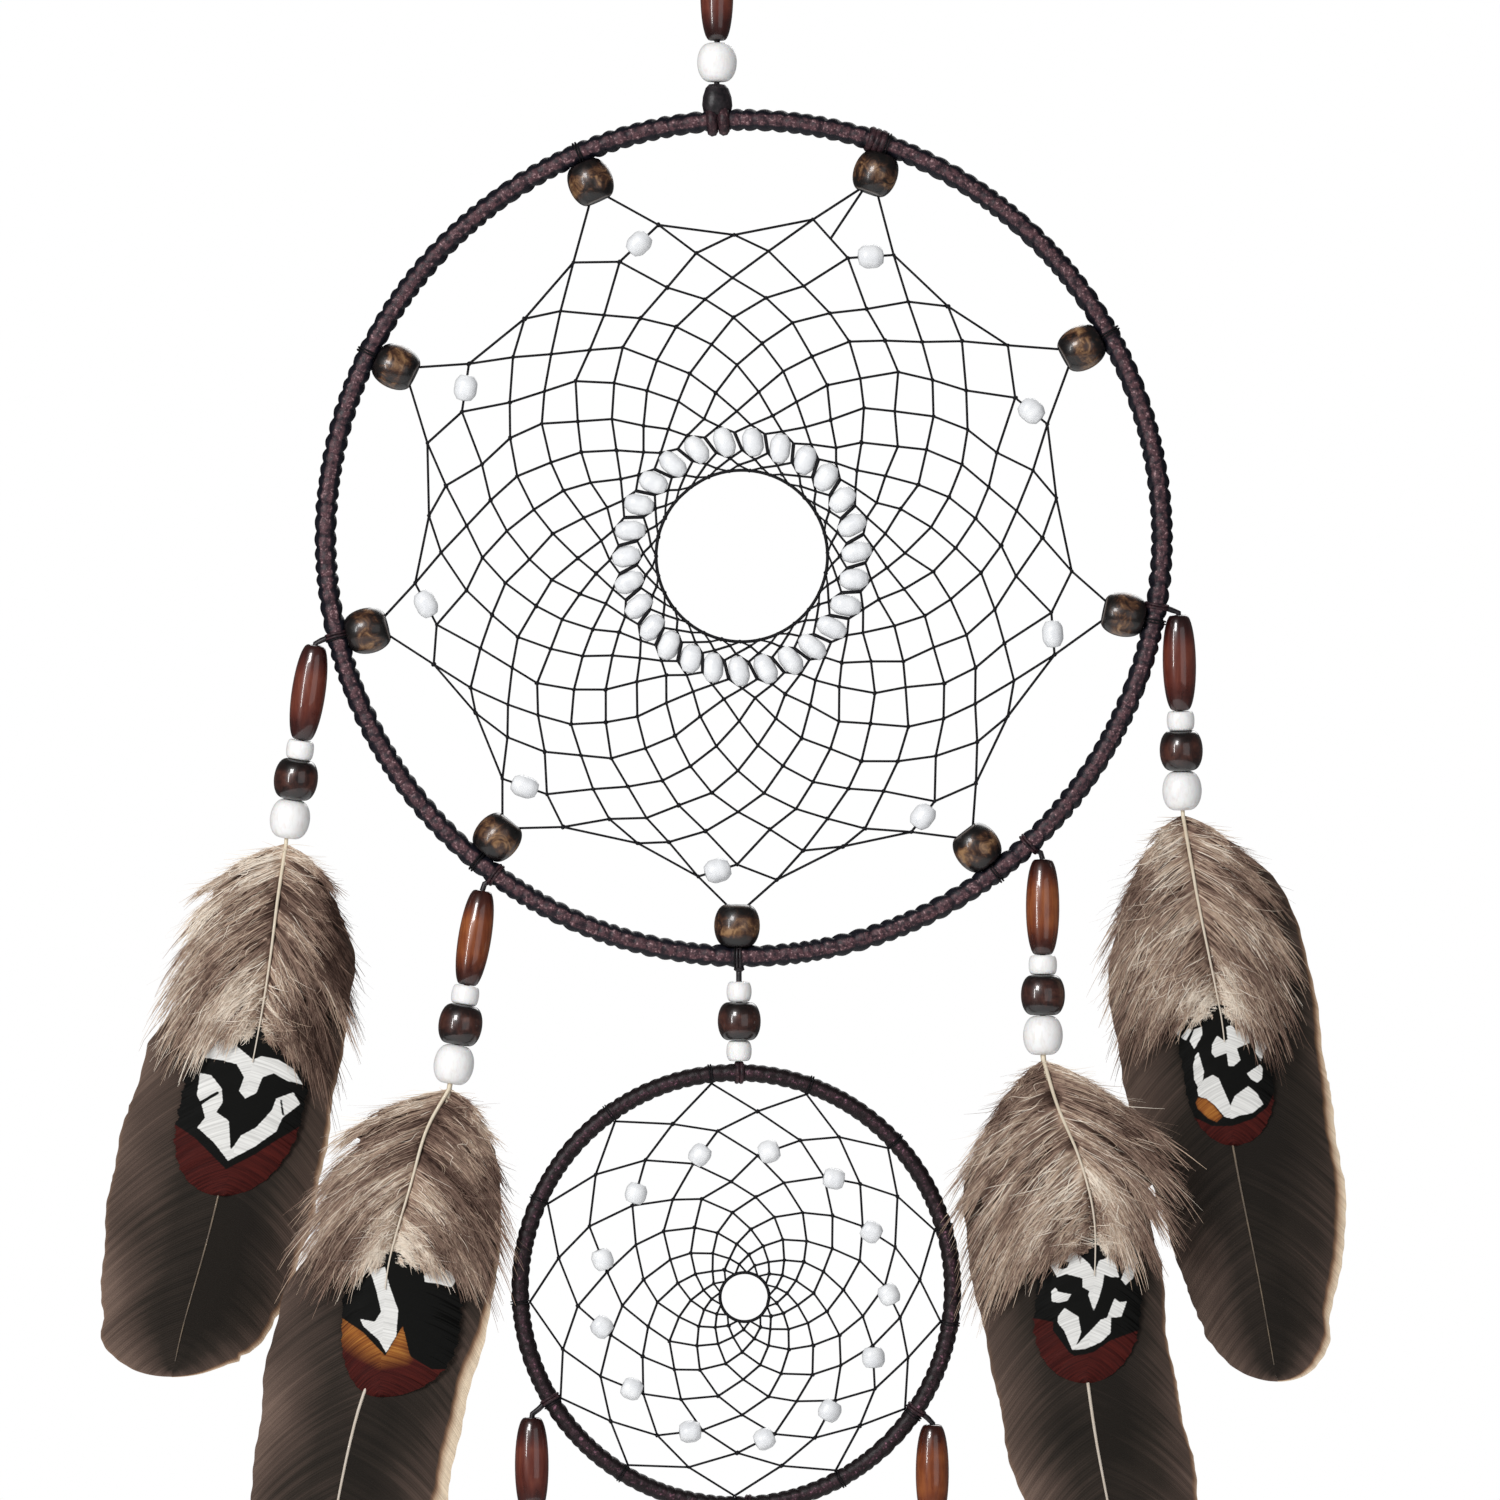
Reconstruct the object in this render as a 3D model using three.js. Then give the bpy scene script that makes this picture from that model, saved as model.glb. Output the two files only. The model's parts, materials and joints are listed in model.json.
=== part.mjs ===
// A dream catcher: a large webbed hoop on a hanging loop, a small webbed hoop below it, and seven
// beaded strands that end in feathers. Millimetres, +Z up, the front faces -Y. The origin is the
// point that it hangs from, inside the top of the hanging loop.
import * as THREE from 'three';

// Driving dimensions
const GAP = 0.3; // between pieces that touch
const CORD_RADIUS = 0.8;
const BORE_RADIUS = 1.3;
const THREAD = 0.6; // web thread, as wide as it is deep
// Hoops: outer radius, thickness of the wound tube and of its core, and where the winding starts
const BIG_HOOP = { x: 6.9, z: -200.2, outer: 110.4, tube: 5.6, core: 2.9, seamDegrees: 93.6, steps: 42 };
const SMALL_HOOP = { x: 5.0, z: -392.9, outer: 57.9, tube: 4.7, core: 2.2, seamDegrees: 89.3, steps: 32 };
const SEAM_DEGREES = 0.5; // the gap between the two ends of a winding
// The hanging loop: half its outline as shares of its width and height, from the bottom up
const LOOP = { width: 9, bottom: -45.5, shares: [[0.28, 0.8], [0.5, 0.42], [0.36, 0.08]] };
const HANGER = { pipe: -60.2, slack: 0.4 }; // the pipe bead's middle, and extra room under it
const LINK = { x: 5.7, middle: -324.2 }; // the cord between the hoops and its beads
// The beads inside the big hoop, anticlockwise from the bottom, tied on by hand and so not quite evenly
const HOOP_BEAD_DEGREES = [-91, -53, -11.4, 29.4, 70.1, 113.3, 153.8, 193.8, 230.5];
const HOOP_BEAD = { length: 10, radius: 5.8, end: 2.4 };
const NODES_PER_SCALLOP = 3;
const WEB_DROP = { outer: 2.3, inner: 4.6 }; // how far the big web sags below the hoop's centre
const SMALL_WEB = { drop: 2.1, across: 2.1 };

// Bead sizes: length along the bore, largest radius, radius at the ends
const PIPE = { length: 24.6, radius: 4.35, end: 2.6 };
const SPACER = { length: 4.6, radius: 3.6, end: 2.4 };
const BROWN = { length: 10.2, radius: 5.6, end: 2.6 };
const WHITE = { length: 9.8, radius: 5.1, end: 2.4 };
const LINK_WHITE = { length: 5.0, radius: 3.2, end: 2.0 };
const LINK_BROWN = { length: 9.6, radius: 5.5, end: 2.6 };

// Node rings of the webs, from the rim to the thread round the middle hole
const BIG_RINGS = [84, 66, 50, 38, 30, 22];
const SCALLOP = 1.8; // how far the outer ring bows out towards the beads
const SMALL_RINGS = [41, 29, 18.5, 6.8];
const SMALL_POINTS = 13; // how often the small web is hitched to its hoop

// Feather bundles: [drop below the quills' tops, left edge, right edge]
const mirror = (stations) => stations.map(([drop, left, right]) => [drop, -right, -left]);
const OUTER_LEFT_FEATHER = [
  [0, -3, 3], [10, -23, 13], [30, -29, 17.5], [50, -35, 15], [75, -43, 10.5],
  [100, -47.5, 6], [122, -48.5, -1.5], [133, -43, -12], [138.5, -32, -25],
];
const INNER_LEFT_FEATHER = [
  [0, -3, 3], [8, -26, 10], [24, -34, 14], [50, -42, 12], [71, -47, 7],
  [87, -49, 3], [109, -51.5, -1.5], [128, -50, -10], [140, -42, -22], [145, -35, -29],
];
const INNER_RIGHT_FEATHER = [
  [0, -3, 3], [9, -9.5, 20], [20, -17, 41], [36, -21, 34], [50, -19, 30],
  [67, -16, 31], [81, -13, 33.5], [102, -8.7, 38], [113, -5.6, 39.5],
  [130, 2, 41], [142, 12, 36], [147, 20, 29],
];
const OUTER_RIGHT_FEATHER = [
  [0, -3, 3], [8, -10, 20], [18, -17, 27], [35, -21, 32], [52, -18, 35],
  [75, -14, 39], [106, -4, 43], [126, 2, 40], [137, 9, 36], [147, 22, 28],
];
const LOWER_FEATHER = [
  [0, -3, 3], [9, -17, 11], [26, -23, 14], [50, -28, 13], [75, -33, 9],
  [100, -36, 5], [120, -36, -1], [131, -31, -9], [137, -24, -17],
];
const LOWER_CENTRE_FEATHER = [
  [0, -3, 3], [9, -15, 15], [26, -20, 20], [60, -21, 21], [95, -22, 22],
  [118, -19, 19], [131, -11, 11], [137, -4, 4],
];
const QUILL_ROOM = 0.8; // extra room below a white bead, which leans and its feathers don't
const FEATHER_DEPTH = 1.6;
const FEATHER_BEVEL = 0.9;

// Strands: where each one hangs from, its lean to the left and its tilt to the back in degrees,
// and how far below that point its first bead starts
const STRANDS = [
  { name: 'outer_left', x: -102.5, z: -224, lean: 8.5, tilt: 3.5, drop: 3.7, feather: OUTER_LEFT_FEATHER },
  { name: 'inner_left', x: -59.9, z: -288.9, lean: 9.2, tilt: -3.5, drop: 1.8, feather: INNER_LEFT_FEATHER },
  { name: 'inner_right', x: 83.6, z: -280.6, lean: 0, tilt: -3.5, drop: 2, feather: INNER_RIGHT_FEATHER },
  { name: 'outer_right', x: 118.4, z: -216, lean: -1.3, tilt: 3.5, drop: 3.9, feather: OUTER_RIGHT_FEATHER },
  { name: 'lower_left', x: -47.5, z: -419.4, lean: 0, tilt: 0, drop: 6.5, feather: LOWER_FEATHER },
  { name: 'lower_right', x: 55.3, z: -423.2, lean: 0, tilt: 0, drop: 4.5, feather: mirror(LOWER_FEATHER) },
  { name: 'lower_centre', x: 10, z: -451.2, lean: 0, tilt: 0, drop: 2.6, feather: LOWER_CENTRE_FEATHER },
];
// A node limit leaves these small beads out of the solids; the others keep their room.
const LEFT_OUT = [
  'lower_left_spacer_bead',
  'lower_right_spacer_bead',
  'lower_centre_spacer_bead',
  'lower_centre_brown_bead',
];

const look = (color, roughness, metalness = 0) =>
  new THREE.MeshStandardMaterial({ color, roughness, metalness });
const LOOKS = {
  cord: look(0x15131a, 0.85),
  wrap: look(0x2a1c24, 0.7),
  steel: look(0x8a8a8c, 0.4, 1),
  pipeWood: look(0x6b2a1c, 0.25),
  burntWood: look(0x4a2a18, 0.3),
  darkWood: look(0x2e1d1a, 0.25),
  white: look(0xf3efec, 0.3),
  feather: look(0x4a3a32, 0.9),
};

const degrees = THREE.MathUtils.degToRad;
const dreamCatcher = new THREE.Group();

function addMesh(parent, name, geometry, material) {
  const mesh = new THREE.Mesh(geometry, material);
  mesh.name = name;
  parent.add(mesh);
  return mesh;
}

// Beads: a barrel profile that closes on itself round the bore, turned about Z
function beadGeometry({ length, radius, end }, sides = 10) {
  const profile = [new THREE.Vector2(BORE_RADIUS, length / 2), new THREE.Vector2(BORE_RADIUS, -length / 2)];
  const steps = 3;
  for (let i = 0; i <= steps; i += 1) {
    const angle = Math.PI * (i / steps - 0.5);
    const height = (length / 2) * Math.sin(angle);
    profile.push(new THREE.Vector2(end + (radius - end) * Math.cos(angle), height));
  }
  profile.push(profile[0].clone());
  return new THREE.LatheGeometry(profile, sides).rotateX(Math.PI / 2);
}

// A cord: an eight-sided rod swept along a curve
function rodGeometry(curve, radius, steps, sides = 8) {
  const section = new THREE.Shape();
  section.absarc(0, 0, radius, 0, Math.PI * 2);
  return new THREE.ExtrudeGeometry(section, {
    extrudePath: curve,
    steps,
    curveSegments: sides / 2,
    bevelEnabled: false,
  });
}

class HoopArc extends THREE.Curve {
  constructor(radius, seamDegrees) {
    super();
    this.radius = radius;
    this.start = degrees(seamDegrees + SEAM_DEGREES / 2);
    this.sweep = degrees(360 - SEAM_DEGREES);
  }

  getPoint(t, target = new THREE.Vector3()) {
    const angle = this.start + t * this.sweep;
    return target.set(this.radius * Math.cos(angle), 0, this.radius * Math.sin(angle));
  }
}

// A hoop: a steel ring inside a tube of wound cord, whose ends meet under the top knot
function addHoop(parent, name, hoop) {
  const middle = hoop.outer - hoop.tube / 2;
  const group = new THREE.Group();
  group.position.set(hoop.x, 0, hoop.z);
  parent.add(group);

  const sides = 8;
  const coreRadius = hoop.core / 2;
  const core = new THREE.TorusGeometry(middle, coreRadius, 6, hoop.steps)
    .rotateX(Math.PI / 2)
    .rotateY(-degrees(hoop.seamDegrees));
  addMesh(group, `${name}_core`, core, LOOKS.steel);

  const section = new THREE.Shape();
  section.absarc(0, 0, hoop.tube / 2, 0, Math.PI * 2);
  const hollow = new THREE.Path();
  hollow.absarc(0, 0, (coreRadius + GAP) / Math.cos(Math.PI / sides), 0, Math.PI * 2, true);
  section.holes.push(hollow);
  const wrap = new THREE.ExtrudeGeometry(section, {
    extrudePath: new HoopArc(middle, hoop.seamDegrees),
    steps: hoop.steps,
    curveSegments: sides / 2,
    bevelEnabled: false,
  });
  addMesh(group, `${name}_wrap`, wrap, LOOKS.wrap);
  return group;
}

// Moves each side of an anticlockwise outline inwards by a distance, or outwards if it is negative
function inset(points, distance) {
  return points.map((point, i) => {
    const before = points[(i + points.length - 1) % points.length];
    const after = points[(i + 1) % points.length];
    const a = new THREE.Vector2().subVectors(point, before).normalize();
    const b = new THREE.Vector2().subVectors(after, point).normalize();
    const shift = new THREE.Vector2(-a.y - b.y, a.x + b.x);
    return shift.multiplyScalar(distance / (1 + a.dot(b))).add(point);
  });
}

function webGeometry(outline, cells) {
  const shape = new THREE.Shape(inset(outline, -THREAD / 2));
  shape.holes = cells.map((cell) => new THREE.Path(inset(cell, THREAD / 2)));
  return new THREE.ExtrudeGeometry(shape, { depth: THREAD, bevelEnabled: false })
    .translate(0, 0, -THREAD / 2)
    .rotateX(Math.PI / 2);
}

const polar = (radius, angle, x = 0, y = 0) =>
  new THREE.Vector2(x + radius * Math.cos(angle), y + radius * Math.sin(angle));

// The diamond cells between rings of nodes, each ring half a step round from the one outside it
function diamondCells(rings) {
  const cells = [];
  const count = rings[0].length;
  const at = (ring, i) => rings[ring][(i + count) % count];
  for (let ring = 0; ring < rings.length - 2; ring += 1) {
    for (let i = 0; i < count; i += 1) {
      cells.push([at(ring, i), at(ring + 1, i), at(ring + 2, i - 1), at(ring + 1, i - 1)]);
    }
  }
  const last = rings.length - 1;
  for (let i = 0; i < count; i += 1) {
    cells.push([at(last - 1, i), at(last, i), at(last, i - 1)]);
  }
  return [...cells, rings[last]];
}

// Each ring's angles are halfway between those of the ring outside it.
function halfStep(angles) {
  return angles.map((angle, i) => {
    const next = i + 1 < angles.length ? angles[i + 1] : angles[0] + Math.PI * 2;
    return (angle + next) / 2;
  });
}

// The large web hangs from the nine beads by a scalloped thread, with three nodes between beads.
function bigWebGeometry() {
  const beadTip = BIG_HOOP.outer - BIG_HOOP.tube - HOOP_BEAD.length - 3 * GAP - THREAD;
  const tips = [];
  const outline = [];
  const outer = [];
  let angles = [];
  HOOP_BEAD_DEGREES.forEach((start, bead) => {
    const end = HOOP_BEAD_DEGREES[bead + 1] ?? HOOP_BEAD_DEGREES[0] + 360;
    tips.push(polar(beadTip, degrees(start)));
    outline.push(tips[bead]);
    for (let node = 1; node <= NODES_PER_SCALLOP; node += 1) {
      const angle = degrees(start + ((end - start) * node) / (NODES_PER_SCALLOP + 1));
      const radius = BIG_RINGS[0] + (node === 2 ? -SCALLOP : SCALLOP);
      const point = polar(radius, angle, 0, -WEB_DROP.outer);
      angles.push(angle);
      outer.push(point);
      outline.push(point);
    }
  });
  const rings = [outer];
  for (const radius of BIG_RINGS.slice(1)) {
    angles = halfStep(angles);
    rings.push(angles.map((angle) => polar(radius, angle, 0, -WEB_DROP.inner)));
  }
  const cells = diamondCells(rings);
  const count = outer.length;
  outer.forEach((point, i) => {
    const next = (i + 1) % count;
    const underBead = next % NODES_PER_SCALLOP === 0;
    const tip = underBead ? [tips[next / NODES_PER_SCALLOP]] : [];
    cells.push([point, ...tip, outer[next], rings[1][i]]);
  });
  return webGeometry(outline, cells);
}

// The small web is hitched straight to its hoop.
function smallWebGeometry() {
  const step = (Math.PI * 2) / SMALL_POINTS;
  const rim = SMALL_HOOP.outer - SMALL_HOOP.tube - 2 * GAP - THREAD;
  let angles = Array.from({ length: SMALL_POINTS }, (_, i) => Math.PI / 2 + i * step);
  const rings = [angles.map((angle) => polar(rim, angle))];
  for (const radius of SMALL_RINGS) {
    const share = 1 - radius / rim;
    angles = halfStep(angles);
    const middle = [SMALL_WEB.across * share, -SMALL_WEB.drop * share];
    rings.push(angles.map((angle) => polar(radius, angle, ...middle)));
  }
  const outline = rings[0].flatMap((point, i) => [point, rings[1][i]]);
  return webGeometry(outline, diamondCells(rings));
}

function addHanger(parent) {
  const whiteMiddle = HANGER.pipe - (PIPE.length + WHITE.length) / 2 - GAP - HANGER.slack;
  const knot = BIG_HOOP.z + BIG_HOOP.outer + GAP;
  const side = LOOP.shares.map(
    ([across, up]) => new THREE.Vector3(LOOP.width * across, 0, LOOP.bottom * up),
  );
  const otherSide = side.map((point) => point.clone().setX(-point.x));
  // The far end comes down beside the start, a cord's width away.
  side[0].setX(LOOP.width * LOOP.shares[2][0]);
  const curve = new THREE.CatmullRomCurve3([
    new THREE.Vector3(0, 0, knot),
    new THREE.Vector3(0, 0, (knot + LOOP.bottom) / 2),
    new THREE.Vector3(0, 0, LOOP.bottom),
    ...otherSide,
    new THREE.Vector3(0, 0, CORD_RADIUS),
    ...side.reverse(),
    new THREE.Vector3(CORD_RADIUS * 2 + 3 * GAP, 0, LOOP.bottom),
  ]);
  addMesh(parent, 'hanging_loop', rodGeometry(curve, CORD_RADIUS, 30), LOOKS.cord);
  addMesh(parent, 'hanger_pipe_bead', beadGeometry(PIPE), LOOKS.pipeWood).position.z = HANGER.pipe;
  addMesh(parent, 'hanger_white_bead', beadGeometry(WHITE), LOOKS.white).position.z = whiteMiddle;
}

function addHoopBeads(hoop) {
  const middle = BIG_HOOP.outer - BIG_HOOP.tube - HOOP_BEAD.length / 2 - GAP;
  HOOP_BEAD_DEGREES.forEach((turn, bead) => {
    const mesh = addMesh(hoop, `hoop_bead_${bead + 1}`, beadGeometry(HOOP_BEAD), LOOKS.burntWood);
    mesh.position.set(middle * Math.cos(degrees(turn)), 0, middle * Math.sin(degrees(turn)));
    mesh.rotation.y = degrees(90 - turn);
  });
}

// The link between the hoops: a cord through two small white beads and a brown one
function addLink(parent) {
  const top = BIG_HOOP.z - BIG_HOOP.outer - GAP;
  const bottom = SMALL_HOOP.z + SMALL_HOOP.outer + GAP;
  const ends = [top, bottom].map((z) => new THREE.Vector3(LINK.x, 0, z));
  addMesh(parent, 'link_cord', rodGeometry(new THREE.LineCurve3(...ends), CORD_RADIUS, 1), LOOKS.cord);
  const step = (LINK_BROWN.length + LINK_WHITE.length) / 2 + GAP;
  const beads = [
    ['link_upper_white_bead', LINK_WHITE, LINK.middle + step, LOOKS.white],
    ['link_brown_bead', LINK_BROWN, LINK.middle, LOOKS.darkWood],
    ['link_lower_white_bead', LINK_WHITE, LINK.middle - step, LOOKS.white],
  ];
  for (const [name, size, z, material] of beads) {
    addMesh(parent, name, beadGeometry(size), material).position.set(LINK.x, 0, z);
  }
}

function featherGeometry(stations) {
  const left = stations.map(([drop, edge]) => new THREE.Vector2(edge, -drop));
  const right = stations.map(([drop, , edge]) => new THREE.Vector2(edge, -drop)).reverse();
  const outline = new THREE.Shape(inset([...left, ...right], FEATHER_BEVEL));
  return new THREE.ExtrudeGeometry(outline, {
    depth: FEATHER_DEPTH,
    bevelThickness: FEATHER_BEVEL,
    bevelSize: FEATHER_BEVEL,
    bevelSegments: 1,
  })
    .translate(0, 0, -FEATHER_DEPTH / 2)
    .rotateX(Math.PI / 2);
}

// A strand hangs down its own -Z from where it is knotted to a hoop.
function addStrand(parent, { name, x, z, lean, tilt, drop, feather }) {
  const strand = new THREE.Group();
  strand.position.set(x, 0, z);
  strand.rotation.set(degrees(tilt), degrees(lean), 0);
  parent.add(strand);

  const beads = [
    ['pipe_bead', PIPE, LOOKS.pipeWood],
    ['spacer_bead', SPACER, LOOKS.white],
    ['brown_bead', BROWN, LOOKS.darkWood],
    ['white_bead', WHITE, LOOKS.white],
  ];
  let depth = drop;
  for (const [kind, size, material] of beads) {
    const bead = `${name}_${kind}`;
    if (!LEFT_OUT.includes(bead)) {
      addMesh(strand, bead, beadGeometry(size), material).position.z = -depth - size.length / 2;
    }
    depth += size.length + GAP;
  }
  const curve = new THREE.LineCurve3(new THREE.Vector3(0, 0, -GAP), new THREE.Vector3(0, 0, GAP - depth));
  addMesh(strand, `${name}_cord`, rodGeometry(curve, CORD_RADIUS, 1), LOOKS.cord);

  const tip = addMesh(strand, `${name}_feather`, featherGeometry(feather), LOOKS.feather);
  tip.position.z = -depth - QUILL_ROOM;
  tip.rotation.y = degrees(-lean);
}

addHanger(dreamCatcher);
const bigHoop = addHoop(dreamCatcher, 'big_hoop', BIG_HOOP);
addHoopBeads(bigHoop);
addMesh(bigHoop, 'big_web', bigWebGeometry(), LOOKS.cord);
addLink(dreamCatcher);
const smallHoop = addHoop(dreamCatcher, 'small_hoop', SMALL_HOOP);
addMesh(smallHoop, 'small_web', smallWebGeometry(), LOOKS.cord);
for (const strand of STRANDS) {
  addStrand(dreamCatcher, strand);
}

export default dreamCatcher;
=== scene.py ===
import json
import math

import bpy
import numpy as np
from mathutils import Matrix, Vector


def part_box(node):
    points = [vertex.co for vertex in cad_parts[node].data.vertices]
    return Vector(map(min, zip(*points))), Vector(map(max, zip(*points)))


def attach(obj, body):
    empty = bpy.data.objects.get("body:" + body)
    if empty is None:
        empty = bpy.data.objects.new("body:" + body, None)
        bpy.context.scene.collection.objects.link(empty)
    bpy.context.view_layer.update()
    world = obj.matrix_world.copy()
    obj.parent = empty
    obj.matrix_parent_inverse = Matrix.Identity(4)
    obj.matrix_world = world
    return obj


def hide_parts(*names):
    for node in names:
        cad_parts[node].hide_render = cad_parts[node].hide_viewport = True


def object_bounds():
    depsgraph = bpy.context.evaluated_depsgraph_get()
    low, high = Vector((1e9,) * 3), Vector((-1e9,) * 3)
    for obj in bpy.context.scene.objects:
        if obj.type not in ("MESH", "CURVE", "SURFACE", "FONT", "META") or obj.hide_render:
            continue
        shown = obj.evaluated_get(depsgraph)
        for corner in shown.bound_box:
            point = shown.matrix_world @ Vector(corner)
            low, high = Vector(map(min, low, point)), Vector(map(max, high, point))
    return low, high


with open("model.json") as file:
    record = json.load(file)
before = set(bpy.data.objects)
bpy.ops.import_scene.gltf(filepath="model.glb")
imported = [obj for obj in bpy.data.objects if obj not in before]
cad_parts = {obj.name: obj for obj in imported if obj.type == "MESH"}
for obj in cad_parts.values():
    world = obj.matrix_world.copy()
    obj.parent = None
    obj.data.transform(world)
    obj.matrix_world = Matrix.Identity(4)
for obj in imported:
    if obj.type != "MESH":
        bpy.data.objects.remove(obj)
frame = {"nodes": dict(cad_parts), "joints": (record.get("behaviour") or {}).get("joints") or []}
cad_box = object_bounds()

MM = 0.001
LACE = 0.8 * MM  # radius of the cord that the beads and hoops hang on
joints = {j["name"]: j for j in frame["joints"]}
UP = np.array([0.0, 0.0, 1.0])
FRONT = np.array([0.0, -1.0, 0.0])


def middle(node):
    low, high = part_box(node)
    return np.array((low + high) / 2)


def unit(v):
    v = np.asarray(v, float)
    return v / np.maximum(np.linalg.norm(v, axis=-1, keepdims=True), 1e-12)


class Hoop:
    """A wound hoop's centre, outer radius and tube radius, read from its CAD winding."""

    def __init__(self, name):
        low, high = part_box(name + "_wrap")
        self.name = name
        self.centre = np.array((low + high) / 2)
        self.outer = (high.z - low.z) / 2
        self.tube = (high.y - low.y) / 2
        self.ring = self.outer - self.tube

    def at(self, degrees, radius, y=0.0):
        a = math.radians(degrees)
        return self.centre + np.array([radius * math.cos(a), y, radius * math.sin(a)])

    def degrees_of(self, point):
        return math.degrees(math.atan2(point[2] - self.centre[2], point[0] - self.centre[0]))


BIG = Hoop("big_hoop")
SMALL = Hoop("small_hoop")
HOOP_BEADS = [f"hoop_bead_{i}" for i in range(1, 10)]
UPPER = ("outer_left", "inner_left", "inner_right", "outer_right")
LOWER = ("lower_left", "lower_right", "lower_centre")

# ---------------------------------------------------------------- camera, light, floor


def make_camera():
    """The view is 385 mm wide, a little below and right of the big hoop's middle, from the front."""
    data = bpy.data.cameras.new("camera")
    camera = bpy.data.objects.new("camera", data)
    bpy.context.scene.collection.objects.link(camera)
    view_width, distance = 0.385, 2.4
    data.sensor_width = 36
    data.lens = data.sensor_width * distance / view_width
    data.clip_end = 20
    aim = BIG.centre + np.array([1.6, 0, -54.4]) * MM
    camera.location = aim + FRONT * distance
    camera.rotation_euler = (math.pi / 2, 0, 0)
    bpy.context.scene.camera = camera


def make_light(name, place, width, height, watts, colour):
    """A soft panel at a place seen from the big hoop's lower half, and turned to face it."""
    data = bpy.data.lights.new(name, "AREA")
    data.energy, data.color = watts, colour
    data.shape, data.size, data.size_y = "RECTANGLE", width, height
    light = bpy.data.objects.new(name, data)
    bpy.context.scene.collection.objects.link(light)
    target = BIG.centre + np.array([0, 0, -0.08])
    light.location = target + np.array(place)
    light.rotation_euler = Vector(-np.array(place)).to_track_quat("-Z", "Y").to_euler()


def make_world():
    """White to the camera, a soft grey light on the object, and dark where it shines."""
    world = bpy.data.worlds.new("studio")
    bpy.context.scene.world = world
    world.use_nodes = True
    tree = world.node_tree
    tree.nodes.clear()
    out = tree.nodes.new("ShaderNodeOutputWorld")
    ray = tree.nodes.new("ShaderNodeLightPath")

    def background(strength, colour):
        made = tree.nodes.new("ShaderNodeBackground")
        made.inputs["Color"].default_value = (*colour, 1)
        made.inputs["Strength"].default_value = strength
        return made.outputs[0]

    def choose(kind, otherwise, chosen):
        made = tree.nodes.new("ShaderNodeMixShader")
        tree.links.new(ray.outputs[kind], made.inputs["Fac"])
        tree.links.new(otherwise, made.inputs[1])
        tree.links.new(chosen, made.inputs[2])
        return made.outputs[0]

    lit = choose("Is Glossy Ray", background(0.36, (0.97, 0.98, 1)), background(0.07, (1, 1, 1)))
    tree.links.new(choose("Is Camera Ray", lit, background(1.0, (1, 1, 1))), out.inputs["Surface"])


def make_floor(material):
    """A pale disc of four rings of faces, well below the lowest feather."""
    rings, spokes, radius, drop, back = 4, 96, 1.1, 0.25, 0.1
    centre = np.array([BIG.centre[0], back, cad_box[0].z - drop])
    turn = np.arange(spokes) * 2 * np.pi / spokes
    spoke_ends = radius * np.stack([np.cos(turn), np.sin(turn), 0 * turn], axis=1)
    builder = Builder()
    fan = [[0, 1 + i, 1 + (i + 1) % spokes] for i in range(spokes)]
    circles = [centre + end * (ring + 1) / rings for ring in range(rings) for end in spoke_ends]
    builder.add([centre] + circles, fan)
    builder.add(np.zeros((0, 3)), grid_faces(rings, spokes, wrap_columns=True)[:, ::-1] + 1, base=0)
    builder.object("floor", [material])


# ---------------------------------------------------------------- mesh making


class Builder:
    """Gathers points and faces into one mesh, with named numbers kept at each point for the materials."""

    def __init__(self):
        self.points, self.faces, self.slots, self.values = [], [], [], {}
        self.count = 0

    def add(self, points, faces, slot=0, base=None, **values):
        points = np.asarray(points, float).reshape(-1, 3)
        faces = np.asarray(faces, int)
        self.faces.append(faces + (self.count if base is None else base))
        self.slots.append(np.full(len(faces), slot))
        self.points.append(points)
        for name, value in values.items():
            column = self.values.setdefault(name, [])
            column.append((self.count, np.broadcast_to(np.asarray(value, float).ravel(), (len(points),))))
        self.count += len(points)

    def close_ends(self, count, sides, slot=0):
        """Closes both ends of the tube that the last count points make."""
        first, last = self.count - count, self.count - sides
        self.add(np.zeros((0, 3)), [range(first, first + sides)[::-1]], slot, base=0)
        self.add(np.zeros((0, 3)), [range(last, last + sides)], slot, base=0)

    def object(self, name, materials):
        mesh = bpy.data.meshes.new(name)
        points = np.concatenate(self.points)
        mesh.vertices.add(len(points))
        mesh.vertices.foreach_set("co", points.astype(np.float32).ravel())
        sizes = np.concatenate([np.full(len(f), f.shape[1]) for f in self.faces if len(f)])
        corners = np.concatenate([f.ravel() for f in self.faces if len(f)])
        mesh.loops.add(len(corners))
        mesh.loops.foreach_set("vertex_index", corners.astype(np.int32))
        mesh.polygons.add(len(sizes))
        starts = np.concatenate([[0], np.cumsum(sizes)[:-1]])
        mesh.polygons.foreach_set("loop_start", starts.astype(np.int32))
        mesh.polygons.foreach_set("material_index", np.concatenate(self.slots).astype(np.int32))
        mesh.polygons.foreach_set("use_smooth", np.full(len(sizes), True))
        mesh.update(calc_edges=True)
        for key, columns in self.values.items():
            whole = np.zeros(len(points), np.float32)
            for start, column in columns:
                whole[start : start + len(column)] = column
            mesh.attributes.new(key, "FLOAT", "POINT").data.foreach_set("value", whole)
        for material in materials:
            mesh.materials.append(material)
        made = bpy.data.objects.new(name, mesh)
        bpy.context.scene.collection.objects.link(made)
        return made


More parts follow.
